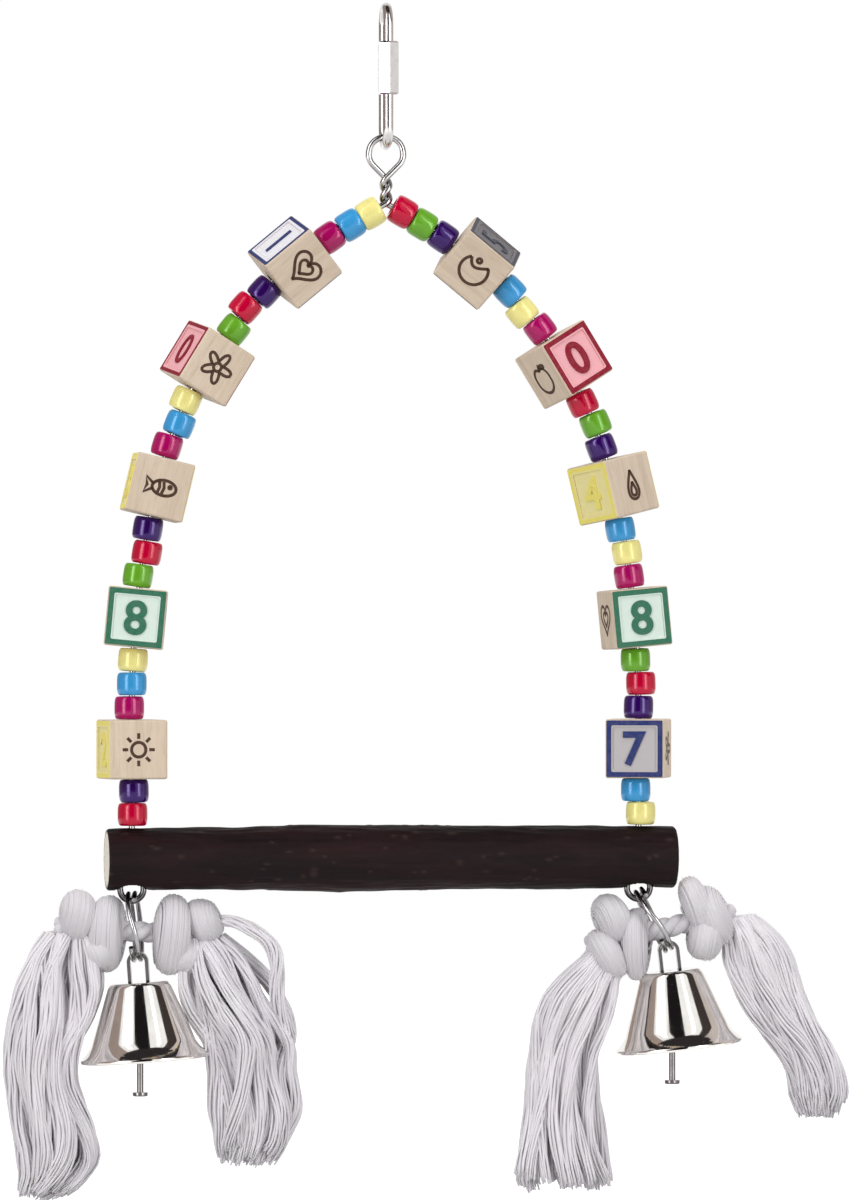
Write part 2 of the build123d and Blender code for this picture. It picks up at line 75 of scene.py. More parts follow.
def putMesh(name, verts, quads, tris=None, quadUvs=None, triUvs=None, smooth=True):
    # verts is an N by 3 array; quads and tris are index arrays, and the UVs go corner by corner
    verts = np.asarray(verts, float).reshape(-1, 3)
    quads = np.asarray(quads, int).reshape(-1, 4)
    tris = np.zeros((0, 3), int) if tris is None else np.asarray(tris, int).reshape(-1, 3)
    mesh = bpy.data.meshes.new(name)
    mesh.vertices.add(len(verts))
    mesh.vertices.foreach_set("co", verts.astype(np.float32).ravel())
    corners = np.concatenate([quads.ravel(), tris.ravel()])
    starts = np.concatenate([np.arange(len(quads)) * 4, quads.size + np.arange(len(tris)) * 3])
    mesh.loops.add(len(corners))
    mesh.loops.foreach_set("vertex_index", corners.astype(np.int32))
    mesh.polygons.add(len(quads) + len(tris))
    mesh.polygons.foreach_set("loop_start", starts.astype(np.int32))
    mesh.polygons.foreach_set("use_smooth", np.full(len(starts), smooth))
    if quadUvs is not None:
        layer = mesh.uv_layers.new(name="along")
        uvs = np.asarray(quadUvs, float).reshape(-1, 2)
        if triUvs is not None:
            uvs = np.concatenate([uvs, np.asarray(triUvs, float).reshape(-1, 2)])
        layer.data.foreach_set("uv", uvs.astype(np.float32).ravel())
    mesh.update()
    mesh.validate()
    return addObject(name, mesh)


def gridQuads(rows, cols, wrap):
    # corner indices of every cell of a rows by cols grid; with wrap the last column joins the first
    r, c = np.meshgrid(np.arange(rows - 1), np.arange(cols if wrap else cols - 1), indexing="ij")
    n = (c + 1) % cols
    return np.stack([r * cols + c, r * cols + n, (r + 1) * cols + n, (r + 1) * cols + c], -1).reshape(-1, 4)


def gridUvs(rows, cols):
    # a wrapped grid's corners as (down, around) pairs, which run on past the seam so that it stays straight
    r, c = np.meshgrid(np.arange(rows - 1), np.arange(cols), indexing="ij")
    corner = [(r, c), (r, c + 1), (r + 1, c + 1), (r + 1, c)]
    return np.stack([np.stack([a / (rows - 1), b / cols], -1) for a, b in corner], 2).reshape(-1, 4, 2)


def unit(v):
    v = np.asarray(v, float)
    return v / np.linalg.norm(v, axis=-1, keepdims=True)


def lathe(name, profile, origin, axis, around):
    # a closed outline of (radius, height) pairs turned about an axis
    axis = unit(axis)
    side = unit(np.cross(axis, (0.31, 0.87, 0.38)))  # any slanted line gives a first side square to the axis
    other = np.cross(axis, side)
    turn = np.linspace(0, 2 * math.pi, around, endpoint=False)
    ring = np.cos(turn)[:, None] * side + np.sin(turn)[:, None] * other
    rows = len(profile)
    verts = origin + profile[:, None, 1:2] * axis + profile[:, None, 0:1] * ring[None]
    quads = gridQuads(rows + 1, around, True) % (rows * around)
    return putMesh(name, verts, quads, quadUvs=gridUvs(rows + 1, around))


def strandTubes(name, paths, radii, sides, reference):
    # many round strands: at each path point a ring of corners stands square to the path, and a blunt point ends it
    paths = np.asarray(paths, float)
    count, steps, _ = paths.shape
    radii = np.broadcast_to(radii, (count, steps))
    along = unit(np.gradient(paths, axis=1))
    across = unit(np.cross(along, np.broadcast_to(reference, along.shape)))
    over = np.cross(along, across)
    turn = np.linspace(0, 2 * math.pi, sides, endpoint=False)
    rings = across[:, :, None] * np.cos(turn)[:, None] + over[:, :, None] * np.sin(turn)[:, None]
    body = paths[:, :, None] + rings * radii[:, :, None, None]
    tipA = paths[:, :1] - along[:, :1] * radii[:, :1, None] * 0.6
    tipB = paths[:, -1:] + along[:, -1:] * radii[:, -1:, None] * 0.6
    verts = np.concatenate([body.reshape(count, -1, 3), tipA, tipB], 1)
    each = steps * sides + 2
    base = (np.arange(count) * each)[:, None, None]
    quads = gridQuads(steps, sides, True)[None] + base
    c = np.arange(sides)
    n = (c + 1) % sides
    last = (steps - 1) * sides
    capA = np.stack([n, c, np.full(sides, steps * sides)], -1)
    capB = np.stack([last + c, last + n, np.full(sides, steps * sides + 1)], -1)
    tris = np.concatenate([capA, capB])[None] + base
    shift = np.arange(count)[:, None, None, None] * np.array([0.0, 1.0])
    lengths = np.linalg.norm(np.diff(paths, axis=1), axis=-1).sum(1)[:, None, None, None]
    stretch = np.concatenate([lengths / (10 * mm), np.ones_like(lengths)], -1)
    uvs = gridUvs(steps, sides)[None] * stretch + shift  # one unit of the map is 10 mm of strand
    return putMesh(name, verts, quads, tris, uvs, np.zeros((tris.size, 2)))


def curveMesh(curve):
    # a curve or a text made a mesh, with its corners' places
    holder = addObject(curve.name, curve)
    bpy.context.view_layer.update()
    mesh = bpy.data.meshes.new_from_object(holder)
    bpy.data.objects.remove(holder)
    bpy.data.curves.remove(curve)
    places = np.zeros(len(mesh.vertices) * 3)
    mesh.vertices.foreach_get("co", places)
    return mesh, places.reshape(-1, 3)


def splineLine(points, steps):
    # the NURBS line with these control points, read back as evenly spaced points
    curve = bpy.data.curves.new("line", "CURVE")
    curve.dimensions = "3D"
    spline = curve.splines.new("NURBS")
    spline.points.add(len(points) - 1)
    spline.points.foreach_set("co", np.concatenate([points, np.ones((len(points), 1))], 1).ravel())
    spline.order_u = 3
    spline.use_endpoint_u = True
    spline.resolution_u = 24
    mesh, line = curveMesh(curve)
    bpy.data.meshes.remove(mesh)
    reach = np.concatenate([[0], np.cumsum(np.linalg.norm(np.diff(line, axis=0), axis=1))])
    wanted = np.linspace(0, reach[-1], steps)
    return np.stack([np.interp(wanted, reach, line[:, k]) for k in range(3)], -1)


def ripple(points, count, shortest, longest, seed):
    # smooth seeded noise, mostly between -1 and 1: a sum of cosine waves that run in random directions
    rng = np.random.default_rng(seed)
    points = np.asarray(points, float)
    size = points.shape[-1]
    way = unit(rng.normal(size=(count, size)))
    waveLength = np.exp(rng.uniform(math.log(shortest), math.log(longest), count))
    phase = rng.uniform(0, 2 * math.pi, count)
    return np.cos(points @ (way * (2 * math.pi / waveLength)[:, None]).T + phase).sum(-1) / math.sqrt(count)


def finishPiece(piece, body, material, replaced=()):
    # the piece's material, the body that carries it and the CAD nodes that it stands for
    piece.data.materials.append(material)
    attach(piece, body)
    if replaced:
        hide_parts(*replaced)
    return piece


def newGroup(name, inputs, outputs):
    # an empty shader group with named sockets, handed back with its inner ends
    group = bpy.data.node_groups.new(name, "ShaderNodeTree")
    for socketName, kind, value in inputs:
        socket = group.interface.new_socket(socketName, in_out="INPUT", socket_type="NodeSocket" + kind)
        if value is not None:
            socket.default_value = value
    for socketName, kind in outputs:
        group.interface.new_socket(socketName, in_out="OUTPUT", socket_type="NodeSocket" + kind)
    start = group.nodes.new("NodeGroupInput")
    end = group.nodes.new("NodeGroupOutput")
    return group, start.outputs, end.inputs


def addNode(tree, kind, values=None, **settings):
    # a node with its settings; a value that is a socket is linked to the input, any other is written on it
    node = tree.nodes.new(kind)
    for key, value in settings.items():
        setattr(node, key, value)
    for key, value in (values or {}).items():
        if isinstance(value, bpy.types.NodeSocket):
            tree.links.new(value, node.inputs[key])
        else:
            node.inputs[key].default_value = value
    return node


def mixColour(tree, factor, a, b):
    return addNode(tree, "ShaderNodeMix", {0: factor, 6: a, 7: b}, data_type="RGBA").outputs[2]


def mathNode(tree, operation, *values, clamp=False):
    return addNode(tree, "ShaderNodeMath", dict(enumerate(values)), operation=operation, use_clamp=clamp).outputs[0]


def scaled(tree, vector, factors):
    return addNode(tree, "ShaderNodeVectorMath", {0: vector, 1: factors}, operation="MULTIPLY").outputs[0]


def ramp(tree, value, low, high, outLow=0.0, outHigh=1.0):
    # a value carried from one range to another in a straight line, and held at its ends
    return addNode(tree, "ShaderNodeMapRange", {
        "Value": value, "From Min": low, "From Max": high, "To Min": outLow, "To Max": outHigh}).outputs[0]


def noise(tree, vector, scale, detail=3.0, rough=0.55, distort=0.0):
    return addNode(tree, "ShaderNodeTexNoise", {
        "Vector": vector, "Scale": scale, "Detail": detail, "Roughness": rough, "Distortion": distort}).outputs[0]


def newMaterial(name, **plain):
    # a Principled material; plain values go straight onto the shader's own sockets
    material = bpy.data.materials.new(name)
    material.use_nodes = True
    tree = material.node_tree
    shader = tree.nodes["Principled BSDF"]
    for key, value in plain.items():
        shader.inputs[key.replace("_", " ")].default_value = value
    return material, tree, shader


def place(tree):
    return addNode(tree, "ShaderNodeTexCoord").outputs["Object"]


def feed(tree, shader, **sockets):
    for key, socket in sockets.items():
        tree.links.new(socket, shader.inputs[key.replace("_", " ")])


def bumped(tree, shader, height, strength, distance):
    bump = addNode(tree, "ShaderNodeBump", {"Height": height, "Strength": strength, "Distance": distance})
    feed(tree, shader, Normal=bump.outputs[0])


def useGroup(tree, group, values):
    return addNode(tree, "ShaderNodeGroup", values, node_tree=group).outputs


# handling: cloudy gloss and fine marks that every smooth surface picks up
handling, hIn, hOut = newGroup(
    "handling", [("Vector", "Vector", None), ("Scale", "Float", 400.0), ("Low", "Float", 0.1),
                 ("High", "Float", 0.25)],
    [("Roughness", "Float"), ("Mask", "Float"), ("Height", "Float")])
cloud = noise(handling, hIn["Vector"], hIn["Scale"], 4.0, 0.6)
fine = noise(handling, hIn["Vector"], mathNode(handling, "MULTIPLY", hIn["Scale"], 7.0), 2.0, 0.5)
mask = ramp(handling, cloud, 0.38, 0.66)
spread = mathNode(handling, "SUBTRACT", hIn["High"], hIn["Low"])
handling.links.new(mathNode(handling, "MULTIPLY_ADD", mask, spread, hIn["Low"]), hOut["Roughness"])
handling.links.new(mask, hOut["Mask"])
handling.links.new(fine, hOut["Height"])

# timber: straight grain along one axis of its vector, with pores and slow bands
timber, tIn, tOut = newGroup(
    "timber", [("Vector", "Vector", None), ("Pale", "Color", (0.7, 0.6, 0.5, 1)),
               ("Deep", "Color", (0.5, 0.4, 0.3, 1)), ("Grain", "Float", 900.0)],
    [("Color", "Color"), ("Height", "Float"), ("Roughness", "Float")])
stretched = scaled(timber, tIn["Vector"], (1.0, 0.09, 1.0))
bands = noise(timber, stretched, mathNode(timber, "MULTIPLY", tIn["Grain"], 0.28), 2.0, 0.5, 0.6)
pores = noise(timber, stretched, tIn["Grain"], 3.0, 0.7)
inBands = mathNode(timber, "MULTIPLY", ramp(timber, bands, 0.35, 0.7), 0.55)
share = mathNode(timber, "MULTIPLY_ADD", ramp(timber, pores, 0.5, 0.72), 0.55, inBands, clamp=True)
timber.links.new(mixColour(timber, share, tIn["Pale"], tIn["Deep"]), tOut["Color"])
timber.links.new(mathNode(timber, "SUBTRACT", 1.0, ramp(timber, pores, 0.5, 0.75)), tOut["Height"])
timber.links.new(ramp(timber, bands, 0.2, 0.8, 0.5, 0.66), tOut["Roughness"])

print("shader groups ready")

# metals: each one's colour, then the scale and the range of roughness of its handling marks
metalWear = dict(dull=0.86, bump=0.008, bumpDepth=0.2 * mm)
metalFinish = {
    "linkSteel": dict(colour=(0.68, 0.655, 0.645), scale=300.0, low=0.14, high=0.24),
    "wireSteel": dict(colour=(0.46, 0.45, 0.45), scale=260.0, low=0.14, high=0.24),
    "nickel": dict(colour=(0.9, 0.87, 0.825), scale=120.0, low=0.05, high=0.11),
    "ringSteel": dict(colour=(0.46, 0.45, 0.46), scale=260.0, low=0.14, high=0.24),
    "darkSteel": dict(colour=(0.2, 0.185, 0.185), scale=260.0, low=0.16, high=0.26),
}
shadedWireEyes = dict(top=-240 * mm, foot=-256 * mm, colour=(0.13, 0.125, 0.125, 1))  # painted shade: the wire's lower eyes, down by the perch, darken from top to foot


def handled(tree, shader, colour, worn, scale, low, high, bump, bumpDepth):
    # a smooth finish that goes over to its worn colour where hands have marked it
    marks = useGroup(tree, handling, {"Vector": place(tree), "Scale": scale, "Low": low, "High": high})
    colour = mixColour(tree, marks["Mask"], colour + (1,), worn + (1,))
    feed(tree, shader, Base_Color=colour, Roughness=marks["Roughness"])
    bumped(tree, shader, marks["Height"], bump, bumpDepth)


def metal(name, colour, **marks):
    material, tree, shader = newMaterial(name, Metallic=1.0)
    dull = tuple(c * metalWear["dull"] for c in colour)
    handled(tree, shader, colour, dull, bump=metalWear["bump"], bumpDepth=metalWear["bumpDepth"], **marks)
    return material


def dress(nodeName, material):
    nodes[nodeName].data.materials.clear()
    nodes[nodeName].data.materials.append(material)


metals = {name: metal(name, **values) for name, values in metalFinish.items()}
wireTree = metals["wireSteel"].node_tree
wireShader = wireTree.nodes["Principled BSDF"]
bright = wireShader.inputs["Base Color"].links[0].from_socket
# painted shade: below top the wire's colour goes over to the dark eye colour, fully dark at foot
height = addNode(wireTree, "ShaderNodeSeparateXYZ", {0: place(wireTree)}).outputs[2]
fade = ramp(wireTree, height, shadedWireEyes["top"], shadedWireEyes["foot"])
feed(wireTree, wireShader, Base_Color=mixColour(wireTree, fade, bright, shadedWireEyes["colour"]))
for nodeName in ("link_body", "link_nut"):
    dress(nodeName, metals["linkSteel"])
dress("arch_wire", metals["wireSteel"])
for side in ("left", "right"):
    dress(side + "_split_ring", metals["ringSteel"])
    dress(side + "_bell_hanger", metals["darkSteel"])
    dress(side + "_clapper", metals["darkSteel"])
    dress(side + "_bell_shell", metals["nickel"])
print("metals on")

# beads: squarish rings of glossy plastic, loose on the wire
# the order gives each colour's first letter from the top down
bead = dict(
    outer=4.5 * mm, bore=2.0 * mm, length=6.86 * mm, around=44, profile=40, plump=3.3, slack=0.62 * mm, lean=2.2,
    seed=5, coat=0.35, coatRough=0.05, greyTint=0.3, deep=0.92,
    marks=dict(scale=260.0, low=0.09, high=0.15, bump=0.012, bumpDepth=0.2 * mm),
    colours={"yellow": (0.93, 0.84, 0.30), "blue": (0.045, 0.33, 0.68), "magenta": (0.40, 0.002, 0.115),
             "purple": (0.028, 0.002, 0.1), "red": (0.56, 0.0, 0.036), "green": (0.135, 0.39, 0.02)},
    order={"left": "YBMPRGYBMPRGYBMPR", "right": "RGPBYMRGPBYMGRPBY"})


def beadMaterial(name, colour):
    grey = bead["greyTint"]
    tint = tuple(grey + (1 - grey) * c / max(colour) for c in colour) + (1,)
    material, tree, shader = newMaterial("bead" + name.capitalize(), Coat_Weight=bead["coat"],
                                         Coat_Roughness=bead["coatRough"], Specular_Tint=tint)
    handled(tree, shader, colour, tuple(c * bead["deep"] for c in colour), **bead["marks"])
    return material


beadMaterials = {name: beadMaterial(name, colour) for name, colour in bead["colours"].items()}
colourOf = {name[0].upper(): name for name in bead["colours"]}
swell = np.linspace(0, 2 * math.pi, bead["profile"], endpoint=False)
power = 2 / bead["plump"]
beadProfile = np.stack([
    (bead["outer"] + bead["bore"]) / 2 + (bead["outer"] - bead["bore"]) / 2
    * np.sign(np.cos(swell)) * np.abs(np.cos(swell)) ** power,
    bead["length"] / 2 * np.sign(np.sin(swell)) * np.abs(np.sin(swell)) ** power], -1)  # a ring section swollen square
rng = np.random.default_rng(bead["seed"])
for side, order in bead["order"].items():
    for i, letter in enumerate(order):
        node = f"{side}_bead_{i + 1:02d}"
        joint = joints["twirl_" + node]
        axis = unit(joint["axis"])
        sideways = unit(np.cross(axis, rng.normal(size=3)))  # a loose bead sits a little off its wire, and leans
        hung = np.array(joint["pos_m"]) + sideways * bead["slack"] * math.sqrt(rng.uniform(0, 1))
        leaning = unit(axis + math.radians(bead["lean"]) * rng.uniform(-1, 1) * np.cross(axis, sideways))
        piece = lathe(f"bead{side.capitalize()}{i + 1:02d}", beadProfile, hung, leaning, bead["around"])
        colour = colourOf[letter]
        finishPiece(piece, node, beadMaterials[colour], [node])
print("beads strung")

# blocks: timber cubes with painted frames and plain numerals on two faces, and small line figures on two others
# each row of the plan: turn about the wire, where the framed faces look, paint, numeral, figure, painted width in mm
# each paint: the frame's and numeral's colour, then the stain of the field and of the frame's inner band
block = dict(
    size=17.7 * mm, frameWidth=1.9 * mm, edge=0.35 * mm, sink=0.4 * mm, corner=0.4 * mm, innerCorner=0.5 * mm,
    outline=64, fieldCore=0.02, paint=0.05 * mm, numeral=10.4 * mm, fontSize=1.35, bold=0.03, boldFrom=1.3,
    line=0.95 * mm, figure=5.2 * mm, figureSink=0.05 * mm, figureLift=0.04 * mm,
    pale=(0.70, 0.575, 0.445), deep=(0.56, 0.435, 0.32), toneChange=0.05, shift=(0.037, 0.021, 0.053), grain=1500.0,
    poreBump=0.25, poreDepth=0.1 * mm, shine=0.18, bareWood=(0.6, 0.52, 0.44), edgeWear=0.06, fieldWear=0.08,
    ink=(0.062, 0.027, 0.015), inkWear=0.05, marks=dict(scale=700.0, low=0.5, high=0.7, bump=0.05, bumpDepth=0.1 * mm),
    paints={
        "blue": ((0.018, 0.032, 0.15), (0.82, 0.81, 0.85)), "red": ((0.255, 0.003, 0.023), (0.88, 0.43, 0.47)),
        "green": ((0.028, 0.155, 0.09), (0.7, 0.82, 0.74)), "yellow": ((0.87, 0.76, 0.18), (0.88, 0.79, 0.36)),
        # painted shade: the slate paints darken a block's frame, numeral and field to stand for a face in shade
        "indigo": ((0.02, 0.033, 0.15), (0.5, 0.475, 0.485)), "shadedFace": ((0.06, 0.063, 0.088), (0.17, 0.163, 0.182))},
    plan={
        "left": [(19.5, "side", "blue", "1", "heart", 1.1), (16.5, "side", "red", "0", "flower", 1.1),
                 (-0.5, "side", "yellow", "3", "fish", 1.4), (-6.5, "front", "green", "8", "leaf", 1.6),
                 (7.5, "side", "yellow", "2", "sun", 1.4)],
        # the right first block takes the slate paints, which are painted shade
        "right": [(-21.5, "side", "shadedFace", "5", "moon", 1.1), (24.5, "front", "red", "0", "apple", 1.5),
                  (33.5, "side", "yellow", "4", "drop", 1.4), (6.5, "front", "green", "8", "heart", 1.6),
                  (-16.5, "front", "indigo", "7", "flower", 1.5)]})


def blockFrame(joint, turn, faces):
    # a block's middle, the way that its first framed face looks, and the wire's direction
    axis = unit(joint["axis"])
    front = np.array([0.0, -1.0, 0.0])
    front = unit(front - axis * (front @ axis))
    across = np.cross(axis, front)
    angle = math.radians(turn + (90 if faces == "side" else 0))
    return np.array(joint["pos_m"]), front * math.cos(angle) + across * math.sin(angle), axis


def woodMaterial(name, facing, axis, seed):
    # timber with its grain along the wire, from a place of its own and in a tone of its own
    material, tree, shader = newMaterial(name)
    turned = Matrix((facing, axis, np.cross(facing, axis))).to_euler()
    mapping = addNode(tree, "ShaderNodeMapping", {"Vector": place(tree), "Rotation": turned,
                                                  "Location": tuple(seed * s for s in block["shift"])})
    tone = 1.0 + block["toneChange"] * math.sin(seed * 2.3)
    pale, deep = (tuple(c * tone for c in block[key]) + (1,) for key in ("pale", "deep"))
    grain = useGroup(tree, timber, {"Vector": mapping.outputs[0], "Pale": pale, "Deep": deep, "Grain": block["grain"]})
    feed(tree, shader, Base_Color=grain["Color"], Roughness=grain["Roughness"])
    bumped(tree, shader, grain["Height"], block["poreBump"], block["poreDepth"])
    return material


def paintMaterial(name, colour, wear):
    # thin ink soaked into the timber, with little shine, worn a little towards the bare wood
    material, tree, shader = newMaterial(name, Specular_IOR_Level=block["shine"])
    worn = tuple(c + (w - c) * wear for c, w in zip(colour, block["bareWood"]))
    handled(tree, shader, colour, worn, **block["marks"])
    return material


def onFace(flat, origin, out, up, lift):
    # a flat drawing's (across, up) points laid on a face that looks along out
    across = np.cross(up, out)
    return origin + flat[..., :1] * across + flat[..., 1:2] * up + np.asarray(lift)[..., None] * out


def plate(name, inner, outer, origin, out, up, low, high):
    # a band between two closed outlines of the same count, with a top, a bottom and both edges
    count = len(inner)
    rows = np.stack([inner, inner, outer, outer])
    lift = np.stack([np.full(count, v) for v in (low, high, high, low)])
    verts = onFace(rows, origin, out, up, lift)
    quads = gridQuads(5, count, True) % (4 * count)
    return putMesh(name, verts, quads, smooth=False)


def roundedSquare(half, corner):
    # a square outline: a quarter circle of points round each of its four corners
    each = block["outline"] // 4
    quarter = np.repeat(np.arange(4), each) * math.pi / 2
    t = quarter + np.tile(np.linspace(0, math.pi / 2, each), 4)
    middle = quarter + math.pi / 4
    return ((half - corner) * math.sqrt(2) * np.stack([np.cos(middle), np.sin(middle)], -1)
            + corner * np.stack([np.cos(t), np.sin(t)], -1))


def numeral(name, text, origin, out, up, low, high, bold):
    # a plain numeral with some thickness, centred on its face and standing along the wire
    curve = bpy.data.curves.new(name, "FONT")
    curve.body = text
    curve.align_x = "CENTER"
    curve.align_y = "CENTER"
    curve.size = block["numeral"] * block["fontSize"]
    curve.offset = block["numeral"] * bold
    curve.extrude = (high - low) / 2
    curve.resolution_u = 6
    mesh, flat = curveMesh(curve)
    flat = flat - (flat.min(0) + flat.max(0)) / 2
    placed = onFace(flat[:, :2], origin, out, up, flat[:, 2] + (low + high) / 2)
    mesh.vertices.foreach_set("co", placed.astype(np.float32).ravel())
    mesh.update()
    return addObject(name, mesh)


def oval(x, y, wide, tall):
    t = np.linspace(0, 2 * math.pi, 72)
    return np.stack([x + wide * np.cos(t), y + tall * np.sin(t)], -1)


def figureLines(kind):
    # each figure is a few closed or open lines inside a circle of radius 1
    t = np.linspace(0, 2 * math.pi, 72)
    if kind == "heart":
        lobes = 13 * np.cos(t) - 5 * np.cos(2 * t) - 2 * np.cos(3 * t) - np.cos(4 * t)
        heart = np.stack([0.06 * 16 * np.sin(t) ** 3, 0.06 * lobes + 0.1], -1)
        return [heart, heart * 0.5 + np.array([0, 0.03])]
    if kind == "flower":
        r = 0.66 + 0.3 * np.cos(5 * t)
        return [np.stack([r * np.cos(t), r * np.sin(t)], -1), oval(0, 0, 0.24, 0.24)]
    if kind == "fish":
        tail = np.array([(-0.42, 0.12), (-0.92, 0.46), (-0.78, 0), (-0.92, -0.46), (-0.42, -0.12)])
        bars = [np.array([(x, -0.34), (x + 0.08, 0), (x, 0.34)]) for x in (-0.12, 0.14)]
        return [oval(0.22, 0, 0.7, 0.44), tail, oval(0.55, 0.1, 0.07, 0.07)] + bars
    if kind == "leaf":
        edge = np.stack([0.5 * np.sin(t) * np.abs(np.sin(t / 2)) ** 0.4, -0.92 * np.cos(t)], -1)
        veins = [np.array([(0, -0.3), (x, 0.05)]) for x in (0.26, -0.26)]
        return [edge, np.array([(0, -1.0), (0, 0.5)])] + veins
    if kind == "sun":
        rays = [np.array([(0.62 * math.cos(a), 0.62 * math.sin(a)), (0.95 * math.cos(a), 0.95 * math.sin(a))])
                for a in np.arange(8) * math.pi / 4]
        return [oval(0, 0, 0.42, 0.42)] + rays
    if kind == "moon":
        bend = np.linspace(0, math.pi, 36) * 1.5 + 0.8
        outer = np.stack([0.85 * np.cos(bend), 0.85 * np.sin(bend)], -1)
        bow = np.linspace(outer[-1], outer[0], 30)
        lean = np.sin(np.linspace(0, math.pi, 30))[:, None] * np.array([-0.42, 0.12])
        return [np.concatenate([outer, bow + lean]), oval(0.66, 0.1, 0.13, 0.13)]
    if kind == "apple":
        r = 0.72 + 0.1 * np.abs(np.sin(t)) - 0.2 * np.exp(-((t - math.pi / 2) / 0.35) ** 2)
        stalk = np.array([(0, 0.36), (0.08, 0.62), (0.2, 0.82)])
        return [np.stack([r * np.cos(t), r * np.sin(t) - 0.15], -1), stalk, oval(0.42, 0.62, 0.26, 0.1)]
    drop = np.stack([0.58 * np.sin(t) * np.sin(t / 2) ** 1.6, 0.86 * np.cos(t)], -1)
    return [drop, drop * 0.48 + np.array([0, -0.24])]


def figure(name, kind, origin, out, up):
    # every line becomes a ribbon: its two edges stand half a width either side of it
    verts, quads, base = [], [], 0
    low, high = -block["figureSink"], block["figureLift"]
    for line in figureLines(kind):
        line = line * block["figure"]
        run = unit(np.gradient(line, axis=0) + 1e-12)
        edge = np.stack([-run[:, 1], run[:, 0]], -1) * block["line"] / 2
        rows = np.stack([line - edge, line - edge, line + edge, line + edge], 1)
        lift = np.broadcast_to([low, high, high, low], rows.shape[:2])
        verts.append(onFace(rows, origin, out, up, lift).reshape(-1, 3))
        quads.append(gridQuads(len(line), 4, True) + base)
        quads.append(np.array([[0, 3, 2, 1], [-4, -3, -2, -1]]) % (len(line) * 4) + base)  # the ribbon's two ends
        base += len(line) * 4
    return putMesh(name, np.concatenate(verts), np.concatenate(quads), smooth=False)


paints = {name: (paintMaterial(name + "Paint", edge, block["edgeWear"]),
                 paintMaterial(name + "Stain", field, block["fieldWear"]))
          for name, (edge, field) in block["paints"].items()}
inkMaterial = paintMaterial("brownInk", block["ink"], block["inkWear"])
half = block["size"] / 2
rim = half - block["edge"]
outer = roundedSquare(rim, block["corner"])
inner = roundedSquare(rim - block["frameWidth"], block["innerCorner"])
for side, plan in block["plan"].items():
    for i, (turn, faces, paint, text, kind, stroke) in enumerate(plan):
        node = f"{side}_block_{i + 1}"
        label = f"{side.capitalize()}{i + 1}"
        origin, facing, axis = blockFrame(joints[f"turn_block_{side}_{i + 1}"], turn, faces)
        dress(node, woodMaterial("wood" + label, facing, axis, i + (0 if side == "left" else 5)))
        edgePaint, fieldStain = paints[paint]
        painted = roundedSquare(rim - stroke * mm, block["innerCorner"])
        bold = block["bold"] if stroke > block["boldFrom"] else 0.0
        for way, letter in ((1, "A"), (-1, "B")):
            out = facing * way
            face, sunk = origin + out * half, origin + out * (half - block["sink"])
            under, paintTop = -block["sink"] * 0.5, block["paint"]
            for part, near, far, level, low, high, finish in (
                    ("Frame", painted, outer, face, under, paintTop, edgePaint),
                    ("Band", inner, painted, face, under, paintTop * 0.8, fieldStain),
                    ("Field", inner * block["fieldCore"], inner, sunk, -paintTop, paintTop, fieldStain)):
                piece = plate(f"block{part}{label}{letter}", near, far, level, out, axis, low, high)
                finishPiece(piece, node, finish)
            digit = numeral(f"blockNumeral{label}{letter}", text, face, out, axis, -block["sink"], paintTop * 0.5, bold)
            finishPiece(digit, node, edgePaint)
            sideOut = np.cross(axis, facing) * way
            drawing = figure(f"blockFigure{label}{letter}", kind, origin + sideOut * half, sideOut, axis)
            finishPiece(drawing, node, inkMaterial)
print("blocks painted")

# perch: a length of dark branch with bark ridges, pale pores, sawn ends and a pocket under each wire
# waves are a count, the shortest and longest length and a seed
# girths and dips are shares of the thickness, at stations that are shares of the length
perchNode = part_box("perch")
perch = dict(
    left=perchNode[0][0], right=perchNode[1][0], dia=19.6 * mm, rows=460, around=156, endRows=9, seatGap=3.585 * mm,
    stations=(0.0, 0.17, 0.38, 0.6, 0.82, 1.0), girths=(0.955, 0.975, 1.03, 1.01, 0.985, 0.965),
    dips=(0.02, 0.004, -0.02, -0.012, 0.003, 0.008), edge=0.5 * mm, edgeReach=0.35 * mm,
    ridge=0.2 * mm, ridgeDraw=0.14, ridgeWaves=(26, 1.3 * mm, 4.5 * mm, 11), lump=0.12 * mm,
    lumpWaves=(16, 9 * mm, 30 * mm, 12), pores=150, poreSeed=13, poreSize=(0.35, 0.8), poreShape=(1.5 * mm, 0.825 * mm),
    poreRise=0.14 * mm, knots=((-22.8 * mm, 2.05, 1.1 * mm, 1.2 * mm), (21 * mm, 1.7, 0.9 * mm, 0.8 * mm)),
    saw=0.12 * mm, sawWaves=(10, 2 * mm, 7 * mm, 14), sawCore=0.06, sawFrom=0.93,
    holeX=76.6 * mm, pocketRadius=5.05 * mm, pocketDepth=7.05 * mm, snap=0.24 * mm,
    shine=0.14, dark=(0.0066, 0.0028, 0.0037, 1), warm=(0.0175, 0.0055, 0.0066, 1), streak=(0.0165, 0.0098, 0.0102, 1),
    pore=(0.034, 0.019, 0.0165, 1), wood=(0.93, 0.88, 0.8, 1), woodRing=(0.82, 0.74, 0.62, 1),
    woodFleck=(0.42, 0.33, 0.24, 1))


def smoothTable(at, knots, values):
    # a cubic through the values, with each slope taken from the neighbours
    knots, values = np.asarray(knots, float), np.asarray(values, float)
    slope = np.gradient(values, knots)
    i = np.clip(np.searchsorted(knots, at) - 1, 0, len(knots) - 2)
    wide = knots[i + 1] - knots[i]
    t = (at - knots[i]) / wide
    return ((1 + 2 * t) * (1 - t) ** 2 * values[i] + t * (1 - t) ** 2 * wide * slope[i]
            + t * t * (3 - 2 * t) * values[i + 1] + t * t * (t - 1) * wide * slope[i + 1])


